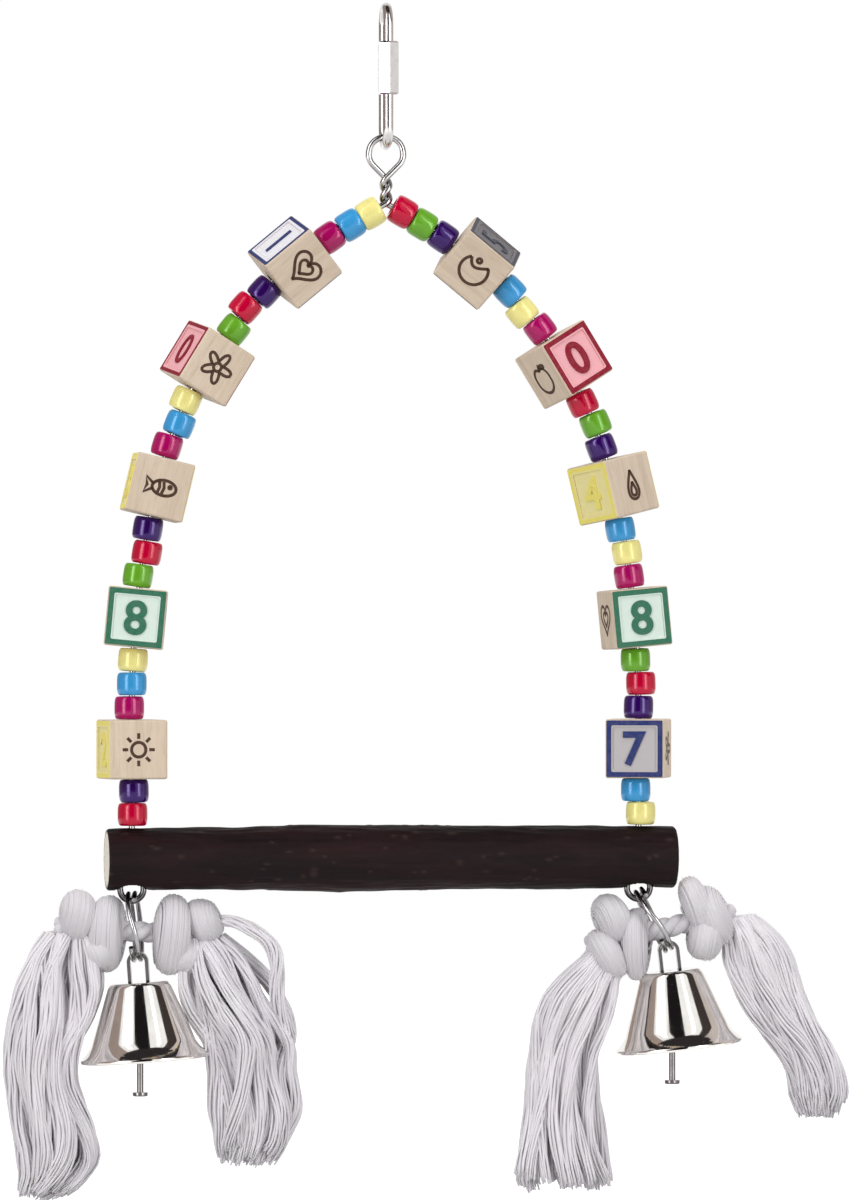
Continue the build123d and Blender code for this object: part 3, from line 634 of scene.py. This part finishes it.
def barkMaterial():
    # patchy, streaked bark with paler pores; where the branch is sawn, pale wood with growth rings and flecks
    material, tree, shader = newMaterial("bark", Specular_IOR_Level=perch["shine"])
    pale, growth, sawn = (addNode(tree, "ShaderNodeAttribute", attribute_name=name).outputs["Fac"]
                          for name in ("pale", "growth", "sawn"))
    where = place(tree)
    drawn = scaled(tree, where, (0.16, 1.0, 1.0))
    patches = noise(tree, drawn, 120.0, 4.0, 0.6, 0.4)
    streaks = noise(tree, drawn, 900.0, 3.0, 0.65)
    skin = mixColour(tree, ramp(tree, patches, 0.42, 0.68), perch["dark"], perch["warm"])
    skin = mixColour(tree, ramp(tree, streaks, 0.52, 0.76, 0.0, 0.6), skin, perch["streak"])
    skin = mixColour(tree, pale, skin, perch["pore"])
    sway = mathNode(tree, "MULTIPLY_ADD", noise(tree, where, 240.0, 2.0), 9.0, mathNode(tree, "MULTIPLY", growth, 46.0))
    rings = ramp(tree, mathNode(tree, "SINE", sway), -1.0, 1.0)
    wood = mixColour(tree, rings, perch["wood"], perch["woodRing"])
    flecks = ramp(tree, noise(tree, where, 1500.0, 3.0, 0.7), 0.5, 0.8, 0.0, 0.5)
    wood = mixColour(tree, flecks, wood, perch["woodFleck"])
    rough = ramp(tree, streaks, 0.3, 0.75, 0.5, 0.78)
    feed(tree, shader, Base_Color=mixColour(tree, sawn, skin, wood), Roughness=rough)
    bumped(tree, shader, mathNode(tree, "ADD", streaks, mathNode(tree, "MULTIPLY", rings, 0.2)), 0.35, 0.3 * mm)
    return material


def putAttribute(piece, name, start, middle, end, tips):
    # one value for every corner of the left sawn face, the bark, the right sawn face and the two middle points
    layer = piece.data.attributes.new(name, "FLOAT", "POINT")
    values = np.concatenate([np.concatenate([start, middle, end]).ravel(), [tips, tips]])
    layer.data.foreach_set("value", values.astype(np.float32))


# the bark: at every station a circle of that station's radius, less the ridges, lumps and rounded edge, plus the pores
leftEnd, rightEnd, thick = perch["left"], perch["right"], perch["dia"]
pocket, snap = perch["pocketRadius"], perch["snap"]
perchTop = joints["twirl_left_bead_17"]["pos_m"][2] - perch["seatGap"]
run = np.linspace(leftEnd, rightEnd, perch["rows"])
share = (run - leftEnd) / (rightEnd - leftEnd)
girth = smoothTable(share, perch["stations"], perch["girths"])
dip = smoothTable(share, perch["stations"], perch["dips"])
radius = girth * thick / 2
middleZ = perchTop - (dip + girth / 2) * thick
around = perch["around"]
turn = np.linspace(0, 2 * math.pi, around, endpoint=False)
flatX, flatTurn = np.meshgrid(run, turn, indexing="ij")
ringPoint = np.stack([flatX, -np.sin(flatTurn) * thick / 2, np.cos(flatTurn) * thick / 2], -1)
grooves = ripple(ringPoint * np.array([perch["ridgeDraw"], 1, 1]), *perch["ridgeWaves"])  # waves drawn out lengthwise
lumps = ripple(ringPoint, *perch["lumpWaves"])
rng = np.random.default_rng(perch["poreSeed"])
poreX = rng.uniform(leftEnd, rightEnd, perch["pores"])
poreTurn = rng.uniform(-math.pi, math.pi, perch["pores"])
poreSize = rng.uniform(*perch["poreSize"], (perch["pores"], 2)) * np.array(perch["poreShape"])
knots = np.array(perch["knots"])  # two knots take the place of the first pores
poreX[:2], poreTurn[:2], poreSize[:2] = knots[:, 0], knots[:, 1], knots[:, 2:]
pores = np.zeros_like(flatX)
for x, t, (wide, tall) in zip(poreX, poreTurn, poreSize):
    gap = (flatTurn - t + math.pi) % (2 * math.pi) - math.pi
    pores = np.maximum(pores, np.exp(-((flatX - x) / wide) ** 2 - (gap * thick / 2 / tall) ** 2))
edge = np.minimum(flatX - leftEnd, rightEnd - flatX)
bark = radius[:, None] - perch["ridge"] * np.clip(0.5 + 0.5 * grooves, 0, 1.4) - perch["lump"] * (1 + lumps)
bark = bark + perch["poreRise"] * pores - perch["edge"] * np.exp(-(edge / perch["edgeReach"]) ** 2)
skin = np.stack([flatX, -np.sin(flatTurn) * bark, middleZ[:, None] + np.cos(flatTurn) * bark], -1)

# the sawn ends: the last ring shrunk step by step, with the saw's shallow waves in it
sawnFace = []
inward = np.linspace(1, perch["sawCore"], perch["endRows"])[:, None]
sawPoint = np.stack([inward * np.cos(turn), inward * np.sin(turn)], -1) * 10 * mm
wave = perch["saw"] * ripple(sawPoint, *perch["sawWaves"])
for end, x in ((0, leftEnd), (-1, rightEnd)):
    face = np.stack([np.full_like(wave, x), -np.sin(turn) * bark[end] * inward,
                     middleZ[end] + np.cos(turn) * bark[end] * inward], -1)
    face[..., 0] += np.abs(wave) * (1 if end == 0 else -1) * (1 - inward ** 8)
    sawnFace.append(face)
rows = np.concatenate([sawnFace[0][::-1], skin, sawnFace[1]])

# the pockets: corners near the rim go onto it, and those inside go up to the pocket's roof
for x in (-perch["holeX"], perch["holeX"]):
    offset = rows[..., :2] - np.array([x, 0])
    reach = np.linalg.norm(offset, axis=-1)
    under = rows[..., 2] < np.interp(rows[..., 0], run, middleZ)
    inside = under & (reach <= pocket - snap)
    rim = under & (np.abs(reach - pocket) < snap)
    wall = inside & (reach > pocket - 3 * snap)
    pull = np.where(rim | wall, pocket / np.maximum(reach, 1e-6), 1.0)
    rows[..., :2] = np.array([x, 0]) + offset * pull[..., None]
    roof = perchTop - thick + perch["pocketDepth"]
    rows[..., 2] = np.where(inside, roof, rows[..., 2])
centres = np.array([(leftEnd, 0, middleZ[0]), (rightEnd, 0, middleZ[-1])])
c, last = np.arange(around), (len(rows) - 1) * around
fan = np.concatenate([np.stack([c, np.full(around, last + around), (c + 1) % around], -1),
                      np.stack([last + c, last + (c + 1) % around, np.full(around, last + around + 1)], -1)])
branch = putMesh("perchBranch", np.concatenate([rows.reshape(-1, 3), centres]), gridQuads(len(rows), around, True), fan)
fadeIn = np.broadcast_to(inward, (perch["endRows"], around))
blank = np.zeros_like(fadeIn)
sawnMask = (fadeIn < perch["sawFrom"]) * 1.0
putAttribute(branch, "pale", blank, pores, blank, 0)
putAttribute(branch, "growth", fadeIn[::-1], np.ones_like(pores), fadeIn, 0)
putAttribute(branch, "sawn", sawnMask[::-1], np.zeros_like(pores), sawnMask, 1)
finishPiece(branch, "swing", barkMaterial(), ["perch"])
print("perch grown")

# bells: spun shells with a round shoulder, straight walls, a flared skirt and a turned rim; the section is in mm
bell = dict(crown=9.7, shoulder=1.6, waist=15.5, waistDrop=17.6, rim=19.2, lip=1.1, height=23.4, wall=0.8, around=144,
            flareStart=(-4.4, 3.6), flareEnd=5.6, turnIn=2.4, rimRoll=0.12, eye=0.02, pinDrop=4.2 * mm,
            tilt={"left": 4.0, "right": 6.5})


def hermite(start, end, startSlope, endSlope, count):
    # a cubic line from start to end that leaves and arrives with the two slopes
    t = np.linspace(0, 1, count)[:, None]
    return ((1 + 2 * t) * (1 - t) ** 2 * start + t * (1 - t) ** 2 * startSlope
            + t * t * (3 - 2 * t) * end + t * t * (t - 1) * endSlope)


def bellProfile(thin):
    # half a section from the rim up to the crown, pulled in by a wall thickness
    pull = np.array([1.0, 1.0]) * thin
    crown = np.array([bell["crown"] - bell["shoulder"], 0.0]) - pull
    shoulder = np.array([bell["crown"], -bell["shoulder"]]) - pull
    waist = np.array([bell["waist"], -bell["waistDrop"]]) - pull * np.array([1, 0])
    lip = np.array([bell["rim"], bell["lip"] - bell["height"]]) - pull * np.array([1, 0.2])
    foot = np.array([bell["rim"] - thin, -bell["height"]])
    wall = unit(shoulder - waist)
    flare = hermite(lip, waist, np.array(bell["flareStart"]), wall * bell["flareEnd"], 22)
    straight = waist + (shoulder - waist) * np.linspace(0, 1, 20)[1:-1, None]
    bend = hermite(shoulder, crown, wall * bell["turnIn"], np.array([-bell["turnIn"], 0.0]), 12)
    roll = np.array([foot + (lip - foot) * s for s in (0.0, 0.25, 0.75)])
    roll[:, 0] += bell["rimRoll"] * np.array([0, 1, 1]) if thin == 0 else 0
    top = crown + (np.array([bell["eye"], crown[1]]) - crown) * np.linspace(0, 1, 8)[1:, None]
    return np.concatenate([roll, flare, straight, bend, top]) * mm


for side in ("left", "right"):
    tilt = math.radians(bell["tilt"][side])
    up = np.array([-math.sin(tilt), 0, math.cos(tilt)])
    crown = np.array(joints[f"clapper_{side}_swing"]["pos_m"]) + up * bell["pinDrop"]
    profile = np.concatenate([bellProfile(0.0), bellProfile(bell["wall"])[::-1]])
    shell = lathe(f"bell{side.capitalize()}", profile, crown, up, bell["around"])
    finishPiece(shell, f"bell_{side}", metals["nickel"], [f"{side}_bell_shell"])
print("bells spun")

# ropes: a twisted cotton length through each ring, a knot of yarn wraps on each side and a combed-out tassel below it
rope = dict(dia=6.4 * mm, plies=3, plyShare=0.26, plyTurns=3.2, steps=90, sides=12, ends={
    "left": dict(drop=1.4 * mm, slope=-3.0, knot=20.0 * mm, setBacks=(3.4 * mm, 4.6 * mm)),
    "right": dict(drop=3.2 * mm, slope=13.0, knot=17.0 * mm, setBacks=(3.2 * mm, 7.8 * mm))})
# the knots' cotton tone is set below the tassels' tone: painted shade on the knots and the rope
# each wrap of a knot in mm: place along, place up, half width, half height and half depth; then its turn and its tip
knot = dict(yarn=0.46 * mm, pitch=0.85, steps=52, sides=6, tone=0.73, seed=31, hairs=1500, hairReach=1.7 * mm,
            hairSeed=81, wraps={
    ("left", 0): [(5.2, -0.9, 5.6, 11.3, 8.4, 3, 6), (-4.0, 4.0, 5.7, 7.6, 8.0, -10, -10),
                  (3.4, -6.4, 4.8, 5.4, 8.0, 24, 12)],
    ("left", 1): [(-3.4, -0.2, 6.0, 11.8, 9.8, -4, -8), (6.0, 4.2, 5.4, 6.8, 7.4, 14, 10),
                  (-0.2, -6.2, 5.2, 5.6, 7.6, -24, -10)],
    ("right", 0): [(5.8, -2.6, 4.3, 10.8, 8.8, -10, 8), (0.2, 6.4, 5.4, 7.8, 8.2, 6, -14),
                   (-3.2, -3.4, 4.9, 8.2, 8.0, 12, 10)],
    ("right", 1): [(-1.7, 4.0, 4.6, 9.5, 7.6, 6, -8), (2.6, 0.4, 5.2, 9.4, 8.0, 4, 12),
                   (-1.6, -5.4, 5.4, 7.2, 8.0, -26, 6)]})
# each tassel from its knot's middle: length, the locks' wander, then drop, sideways place and width in shares of it
# the stray lock's points are in mm from the left inner knot's middle: along, toward the back and up
tassel = dict(
    locks=30, strands=21, steps=36, sides=4, strand=0.42 * mm, tipSteps=8, tip=0.62, lock=1.95 * mm, depth=0.62,
    wave=0.4 * mm, twist=3.6, cut=0.07, tone=0.87, seed=51, hairs=1800, hair=0.075 * mm, hairReach=2.5 * mm,
    hairSeed=71, shapes={
        ("left", 0): (80.0 * mm, 0.17, [
            (0.02, -0.09, 0.25), (0.095, -0.12, 0.35), (0.225, -0.13, 0.42), (0.34, -0.14, 0.41), (0.46, -0.17, 0.34),
            (0.585, -0.172, 0.31), (0.755, -0.13, 0.38), (0.865, -0.12, 0.37), (0.97, -0.17, 0.26),
            (1.0, -0.21, 0.16)]),
        ("left", 1): (70.0 * mm, 0.19, [
            (0.02, 0.09, 0.24), (0.085, 0.13, 0.34), (0.205, 0.17, 0.46), (0.34, 0.235, 0.52), (0.47, 0.295, 0.51),
            (0.58, 0.285, 0.45), (0.76, 0.3, 0.47), (0.9, 0.285, 0.41), (1.0, 0.25, 0.26)]),
        ("right", 0): (76.0 * mm, 0.11, [
            (0.02, -0.02, 0.18), (0.06, -0.035, 0.21), (0.13, -0.085, 0.28), (0.225, -0.145, 0.375),
            (0.315, -0.185, 0.385), (0.45, -0.225, 0.34), (0.63, -0.237, 0.37), (0.81, -0.234, 0.44),
            (0.945, -0.217, 0.52), (1.0, -0.207, 0.5)]),
        ("right", 1): (60.5 * mm, 0.1, [
            (0.0, 0.17, 0.2), (0.09, 0.235, 0.33), (0.205, 0.275, 0.4), (0.37, 0.335, 0.4), (0.515, 0.4, 0.385),
            (0.63, 0.48, 0.365), (0.74, 0.538, 0.35), (0.875, 0.572, 0.335), (1.0, 0.572, 0.22)])},
    strayThick=1.05, stray=[
        (10.5, -2.0, 3.9), (13.8, -3.5, 4.2), (20.0, -5.5, 1.6), (26.4, -7.0, -3.0), (27.6, -7.0, -9.0),
        (27.2, -5.0, -17.0), (29.5, -3.0, -25.0), (32.0, -2.0, -32.0)])
cottonShades = ((0.965, 0.925, 0.975), (1.0, 0.965, 1.0), (0.885, 0.845, 0.905))
goldenTurn = 2.39996  # spreads points evenly over a disc
front, deepWay = np.array([0.0, -1.0, 0.0]), np.array([0.0, 1.0, 0.0])


def cottonMaterial(name, tone):
    # soft cotton: cloudy between two shades, with a deeper shade in streaks along the strand
    material, tree, shader = newMaterial(name, Roughness=0.92, Sheen_Weight=0.35, Sheen_Roughness=0.5,
                                         Specular_IOR_Level=0.2)
    uv = addNode(tree, "ShaderNodeTexCoord").outputs["UV"]
    streaks = noise(tree, scaled(tree, uv, (2.6, 9.0, 1.0)), 2.4, 4.0, 0.65, 0.3)
    cloud = noise(tree, place(tree), 110.0, 3.0, 0.55)
    shades = [tuple(c * tone for c in shade) + (1,) for shade in cottonShades]
    tint = mixColour(tree, ramp(tree, cloud, 0.36, 0.66), shades[0], shades[1])
    tint = mixColour(tree, ramp(tree, streaks, 0.5, 0.78, 0.0, 0.35), tint, shades[2])
    feed(tree, shader, Base_Color=tint)
    bumped(tree, shader, streaks, 0.25, 0.3 * mm)
    return material


def wrapHoops(centre, along, wrap, seed):
    # hoops of yarn laid side by side round a tilted axis, widest in the middle, so that together they make a barrel
    shift, rise, wide, tall, deep = (v * mm for v in wrap[:5])
    turnBy, tipBy = (math.radians(v) for v in wrap[5:])
    over = np.cross(front, along)
    axis = (along * math.cos(turnBy) + over * math.sin(turnBy)) * math.cos(tipBy) + front * math.sin(tipBy)
    top = unit(np.cross(axis, front))
    out = np.cross(axis, top)
    hoops = int(2 * wide / (knot["yarn"] * knot["pitch"]))
    even = np.linspace(-1, 1, hoops)[:, None]
    spot = 0.4 * even + 0.6 * np.sin(even * math.pi / 2)
    swell = (1 - 0.985 * np.abs(spot) ** 2.6) ** 0.42
    t = np.linspace(0, 2 * math.pi, knot["steps"])[None]
    rng = np.random.default_rng(seed)
    lean = (rng.normal(0, 0.014, (hoops, 1)) + 0.08) * tall
    bulge = (1 + rng.normal(0, 0.008, (hoops, 1)) + 0.03 * np.cos(2 * t + spot * 2 + seed)
             + 0.02 * np.cos(3 * t - spot + seed))
    lines = (centre + along * shift + over * rise
             + axis * (spot * (wide - knot["yarn"]) + lean * np.sin(t + seed))[..., None]
             + top * (np.cos(t) * (tall - knot["yarn"]) * swell * bulge)[..., None]
             + out * (np.sin(t) * (deep - knot["yarn"]) * swell * bulge)[..., None])
    return lines, np.broadcast_to(axis, (hoops, 1, 3))


def tasselLocks(start, length, wander, shares, rng):
    # centre lines of the locks, spread over the tassel's section and swaying in it
    table = np.array(shares)
    route = start + length * np.stack([table[:, 1], 0 * table[:, 1], -table[:, 0]], -1)
    line = splineLine(route, tassel["steps"])
    width = length * np.interp(start[2] - line[:, 2], length * table[:, 0], table[:, 2])
    i = np.arange(tassel["locks"])
    reach = np.sqrt((i + 0.5) / tassel["locks"])
    angle = i * goldenTurn + rng.uniform(-0.3, 0.3, len(i))
    s = np.linspace(0, 1, tassel["steps"])
    sway = np.cos(2 * math.pi * (s * rng.uniform(0.5, 1.3, (2, len(i), 1)) + rng.uniform(0, 1, (2, len(i), 1))))
    u = (reach * np.cos(angle))[:, None] * (1 - wander) + wander * sway[0]
    v = (reach * np.sin(angle))[:, None] * (1 - wander) + wander * sway[1]
    x = line[:, 0] + u * np.maximum(width / 2 - tassel["lock"], 0.3 * mm)
    y = line[:, 1] + v * np.maximum(tassel["depth"] * width / 2 - tassel["lock"] * 0.8, 0.3 * mm)
    return np.stack([x, y, np.broadcast_to(line[:, 2], x.shape)], -1)


def lockStrands(locks, size, rng):
    # strands spread over each lock and wound round it, waved, and cut off unevenly
    count, strands, steps = len(locks), tassel["strands"], tassel["steps"]
    j = np.arange(strands)
    s = np.linspace(0, 1, steps)
    thick = size * (0.75 + 0.25 * np.sin(math.pi * s) + 0.25 * s ** 3) * rng.uniform(0.8, 1.25, (count, 1))
    reach = np.sqrt((j + 0.5) / strands)[None, :, None]
    wind = ((j * goldenTurn)[None, :, None] + s * tassel["twist"] * rng.choice([-1, 1], (count, 1, 1))
            + rng.uniform(0, 6.3, (count, 1, 1)))
    wave = 2 * math.pi * (s * rng.uniform(2, 5, (count, strands, 1)) + rng.uniform(0, 1, (count, strands, 1)))
    across = unit(np.cross(np.gradient(locks, axis=1), deepWay))[:, None]
    sideways = thick[:, None] * reach * np.cos(wind) + tassel["wave"] * 0.5 * np.cos(wave)
    deeper = thick[:, None] * reach * np.sin(wind) + tassel["wave"] * 0.5 * np.sin(wave * 0.83)
    paths = locks[:, None] + sideways[..., None] * across + deeper[..., None] * deepWay
    paths = paths.reshape(-1, steps, 3)
    cut = tassel["cut"]
    keep = 1 - np.repeat(rng.uniform(0, cut, count), strands) - rng.uniform(0, cut * 0.5, len(paths))
    wanted = s * keep[:, None] * (steps - 1)
    low = np.minimum(wanted.astype(int), steps - 2)
    part = (wanted - low)[..., None]
    row = np.arange(len(paths))[:, None]
    return paths[row, low] * (1 - part) + paths[row, low + 1] * part


def looseHairs(paths, values, k):
    # fine hairs that leave the strands along them and bend off a random way, more of them near the strands' ends
    rng = np.random.default_rng(values["hairSeed"] + k)
    count = values["hairs"]
    pick = rng.integers(0, len(paths), count)
    at = ((paths.shape[1] - 2) * (1 - rng.uniform(0, 1, count) ** 2 * 0.97)).astype(int)
    root = paths[pick, at]
    along = unit(paths[pick, np.minimum(at + 1, paths.shape[1] - 1)] - paths[pick, at - 1])
    stray = unit(rng.normal(size=root.shape))
    reach = rng.uniform(0.35, 1, (count, 1, 1)) * values["hairReach"]
    t = np.linspace(0, 1, 5)[None, :, None]
    return root[:, None] + reach * (t * along[:, None] * 0.9 + t ** 1.5 * stray[:, None] * 0.65)


cotton = cottonMaterial("cotton", tassel["tone"])
# painted shade: the knots and the rope take the tassels' cotton at a lower tone, a darker copy that stands for their
# shade
shadedCotton = cottonMaterial("shadedCotton", knot["tone"])
taper = np.interp(np.arange(tassel["steps"]), [0, tassel["steps"] - tassel["tipSteps"], tassel["steps"] - 1],
                  [1, 1, tassel["tip"]])
for side, plan in rope["ends"].items():
    body = "ring_" + side
    slope = math.radians(plan["slope"])
    along = np.array([math.cos(slope), 0, math.sin(slope)])
    ringCentre = np.array(joints[f"bell_{side}_swing"]["pos_m"])
    middle = ringCentre - np.array([0, 0, plan["drop"]])
    reach = (-plan["setBacks"][0] - plan["knot"], plan["setBacks"][1] + plan["knot"])
    line = splineLine(middle + np.linspace(reach[0], reach[1], 7)[:, None] * along, rope["steps"])
    # each ply winds round the rope's line, evenly spaced from its neighbours
    turn = (np.linspace(0, 2 * math.pi * rope["plyTurns"], len(line))
            + np.arange(rope["plies"])[:, None] * 2 * math.pi / rope["plies"])
    wound = np.cos(turn)[..., None] * np.cross(front, along) + np.sin(turn)[..., None] * deepWay
    plyRadius = rope["dia"] * rope["plyShare"]
    plies = line + (rope["dia"] / 2 - plyRadius) * wound
    core = strandTubes("rope" + side.capitalize(), plies, plyRadius, rope["sides"], along)
    finishPiece(core, body, shadedCotton, [side + "_rope"])
    for k, way in enumerate((-1, 1)):
        name = side.capitalize() + ("Outer" if (side == "left") == (way < 0) else "Inner")
        knotCentre = middle + along * way * (plan["setBacks"][k] + plan["knot"] / 2)
        hoops = [wrapHoops(knotCentre, along, wrap, knot["seed"] + 7 * k + n)
                 for n, wrap in enumerate(knot["wraps"][side, k])]
        yarns, axes = (np.concatenate(lines) for lines in zip(*hoops))
        tied = strandTubes("knot" + name, yarns, knot["yarn"], knot["sides"], axes)
        finishPiece(tied, body, shadedCotton)
        length, wander, shares = tassel["shapes"][side, k]
        rng = np.random.default_rng(tassel["seed"] + 3 * k + (0 if side == "left" else 10))
        paths = lockStrands(tasselLocks(knotCentre, length, wander, shares, rng), tassel["lock"], rng)
        if (side, k) == ("left", 1):
            stray = splineLine(knotCentre + np.array(tassel["stray"]) * mm, tassel["steps"])
            paths = np.concatenate([paths, lockStrands(stray[None], tassel["lock"] * tassel["strayThick"], rng)])
        tuft = strandTubes("tassel" + name, paths, tassel["strand"] * taper, tassel["sides"], (0, 1.0, 0.05))
        finishPiece(tuft, body, cotton, [side + "_tassels"] if k == 0 else [])
        fuzz = np.concatenate([looseHairs(paths, tassel, k), looseHairs(yarns, knot, k)])
        hairs = strandTubes("fuzz" + name, fuzz, tassel["hair"] * np.linspace(1, 0.5, 5), 3, (0.2, 1.0, 0.05))
        finishPiece(hairs, body, cotton)
print("ropes tied")

# camera: the photograph's angle, far off with a long lens; the middle is in pixels of the photograph
view = dict(azimuth=-7.5, distance=3.0, lens=300.0, sensor=36.0, reach=100.0, pixel=0.3 * mm, middle=(38.5, 587.5))
azimuth = math.radians(view["azimuth"])
back = np.array([math.sin(azimuth), -math.cos(azimuth), 0.0])
right = np.array([math.cos(azimuth), math.sin(azimuth), 0.0])
target = right * view["middle"][0] * view["pixel"] + np.array([0, 0, -view["middle"][1] * view["pixel"]])
camera = addObject("camera", bpy.data.cameras.new("camera"))
camera.data.lens = view["lens"]
camera.data.sensor_width = view["sensor"]
camera.location = target + back * view["distance"]
camera.rotation_euler = (math.pi / 2, 0, azimuth)
camera.data.clip_end = view["reach"]
bpy.context.scene.camera = camera
print("camera set")

# studio: a pale floor, a white surround, two tall soft boxes, two fills, and cards and strips seen in reflections only
# boxes: bearing and power; fills: place from the object, size and power; cards: bearings, elevations and colour
studio = dict(
    boxes={"boxLeft": (-43.0, 12.0), "boxRight": (41.0, 10.8)}, boxReach=1.7, boxRise=0.12, boxSize=(0.62, 1.5),
    fills={"boxTop": ((0, -0.35, 1.5), (1.2, 0.9), 7.5), "boxBack": ((0, 1.7, 0.4), (1.6, 1.2), 7.0)},
    ambient=0.56, floor=-0.52, floorHalf=6.0, floorTone=0.42, floorGlow=(0.7, 2.0, 0.62, 1.0),
    dome=4.2, cardGrid=(9, 13), cards={
        "cardFront": ((-24, 13), (-35, 64), (0.012, 0.01, 0.011)),
        "cardSlit": ((60, 88), (14, 64), (0.05, 0.04, 0.038)),
        "cardLeft": ((-150, -62), (-35, 64), (0.36, 0.29, 0.265)),
        "cardRight": ((88, 150), (-35, 64), (0.6, 0.54, 0.51)),
        "cardHigh": ((-180, 180), (60, 90), (0.03, 0.026, 0.028)),
        "stripLeft": ((-47, -39), (-30, 52), (5.0, 5.0, 5.0)),
        "stripRight": ((34, 41), (-30, 52), (4.2, 4.2, 4.2))})


def lamp(name, location, size, power):
    # a soft box that looks at the object's middle
    data = bpy.data.lights.new(name, "AREA")
    data.shape = "RECTANGLE"
    data.size, data.size_y = size
    data.energy = power
    holder = addObject(name, data)
    holder.location = location
    way = location - target
    holder.rotation_euler = (math.atan2(math.hypot(way[0], way[1]), way[2]), 0, math.atan2(way[0], -way[1]))
    return holder


def seenRays(tree):
    # 1 for what the camera, a mirror or glass sees, and 0 for the light that falls on things
    rays = addNode(tree, "ShaderNodeLightPath").outputs
    mirrored = mathNode(tree, "MAXIMUM", rays["Is Camera Ray"], rays["Is Glossy Ray"])
    return mathNode(tree, "MAXIMUM", mirrored, rays["Is Transmission Ray"])


def card(name, bearings, heights, colour):
    # a patch of a large dome round the object, between two bearings and two elevations, seen only in reflections
    rows, cols = studio["cardGrid"]
    turn = np.radians(np.linspace(*bearings, cols)) + azimuth
    turn, lift = np.meshgrid(turn, np.radians(np.linspace(*heights, rows)))
    way = np.stack([np.cos(lift) * np.sin(turn), -np.cos(lift) * np.cos(turn), np.sin(lift)], -1)
    piece = putMesh(name, target + studio["dome"] * way, gridQuads(rows, cols, False)[:, ::-1])
    material, tree, shader = newMaterial(name, Roughness=1.0, Base_Color=(0, 0, 0, 1), Specular_IOR_Level=0.0,
                                         Emission_Color=colour + (1,), Emission_Strength=1.0)
    material.cycles.emission_sampling = "NONE"
    piece.data.materials.append(material)
    for kind in ("camera", "diffuse", "transmission", "shadow", "volume_scatter"):
        setattr(piece, "visible_" + kind, False)
    piece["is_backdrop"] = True


for name, (bearing, power) in studio["boxes"].items():
    angle = azimuth + math.radians(bearing)
    toBox = np.array([math.sin(angle), -math.cos(angle), studio["boxRise"]])
    lamp(name, target + toBox * studio["boxReach"], studio["boxSize"], power)
for name, (offset, size, power) in studio["fills"].items():
    lamp(name, target + np.array(offset), size, power).visible_glossy = False

world = bpy.data.worlds.new("surround")
bpy.context.scene.world = world
world.use_nodes = True
sky = world.node_tree.nodes["Background"].inputs
sky["Color"].default_value = (1, 1, 1, 1)
glow = mathNode(world.node_tree, "MULTIPLY_ADD", seenRays(world.node_tree), 1.0 - studio["ambient"], studio["ambient"])
world.node_tree.links.new(glow, sky["Strength"])

corners = np.array([(-1, -1, 0), (1, -1, 0), (1, 1, 0), (-1, 1, 0)]) * studio["floorHalf"]
floor = putMesh("floor", corners + np.array([0, 0, studio["floor"]]), [[0, 1, 2, 3]], smooth=False)
floor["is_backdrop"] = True
floorMaterial, floorTree, floorShader = newMaterial(
    "paleFloor", Roughness=0.9, Base_Color=(studio["floorTone"],) * 3 + (1,), Emission_Color=(1, 1, 1, 1))
far = addNode(floorTree, "ShaderNodeVectorMath", {0: place(floorTree)}, operation="LENGTH").outputs["Value"]
lift = mathNode(floorTree, "MULTIPLY", seenRays(floorTree), ramp(floorTree, far, *studio["floorGlow"]))
feed(floorTree, floorShader, Emission_Strength=lift)
floorMaterial.cycles.emission_sampling = "NONE"  # seen, but not sampled as a lamp
floor.data.materials.append(floorMaterial)
for name, values in studio["cards"].items():
    card(name, *values)
bpy.context.scene.view_settings.view_transform = "Standard"
print("studio lit")

low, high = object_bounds()
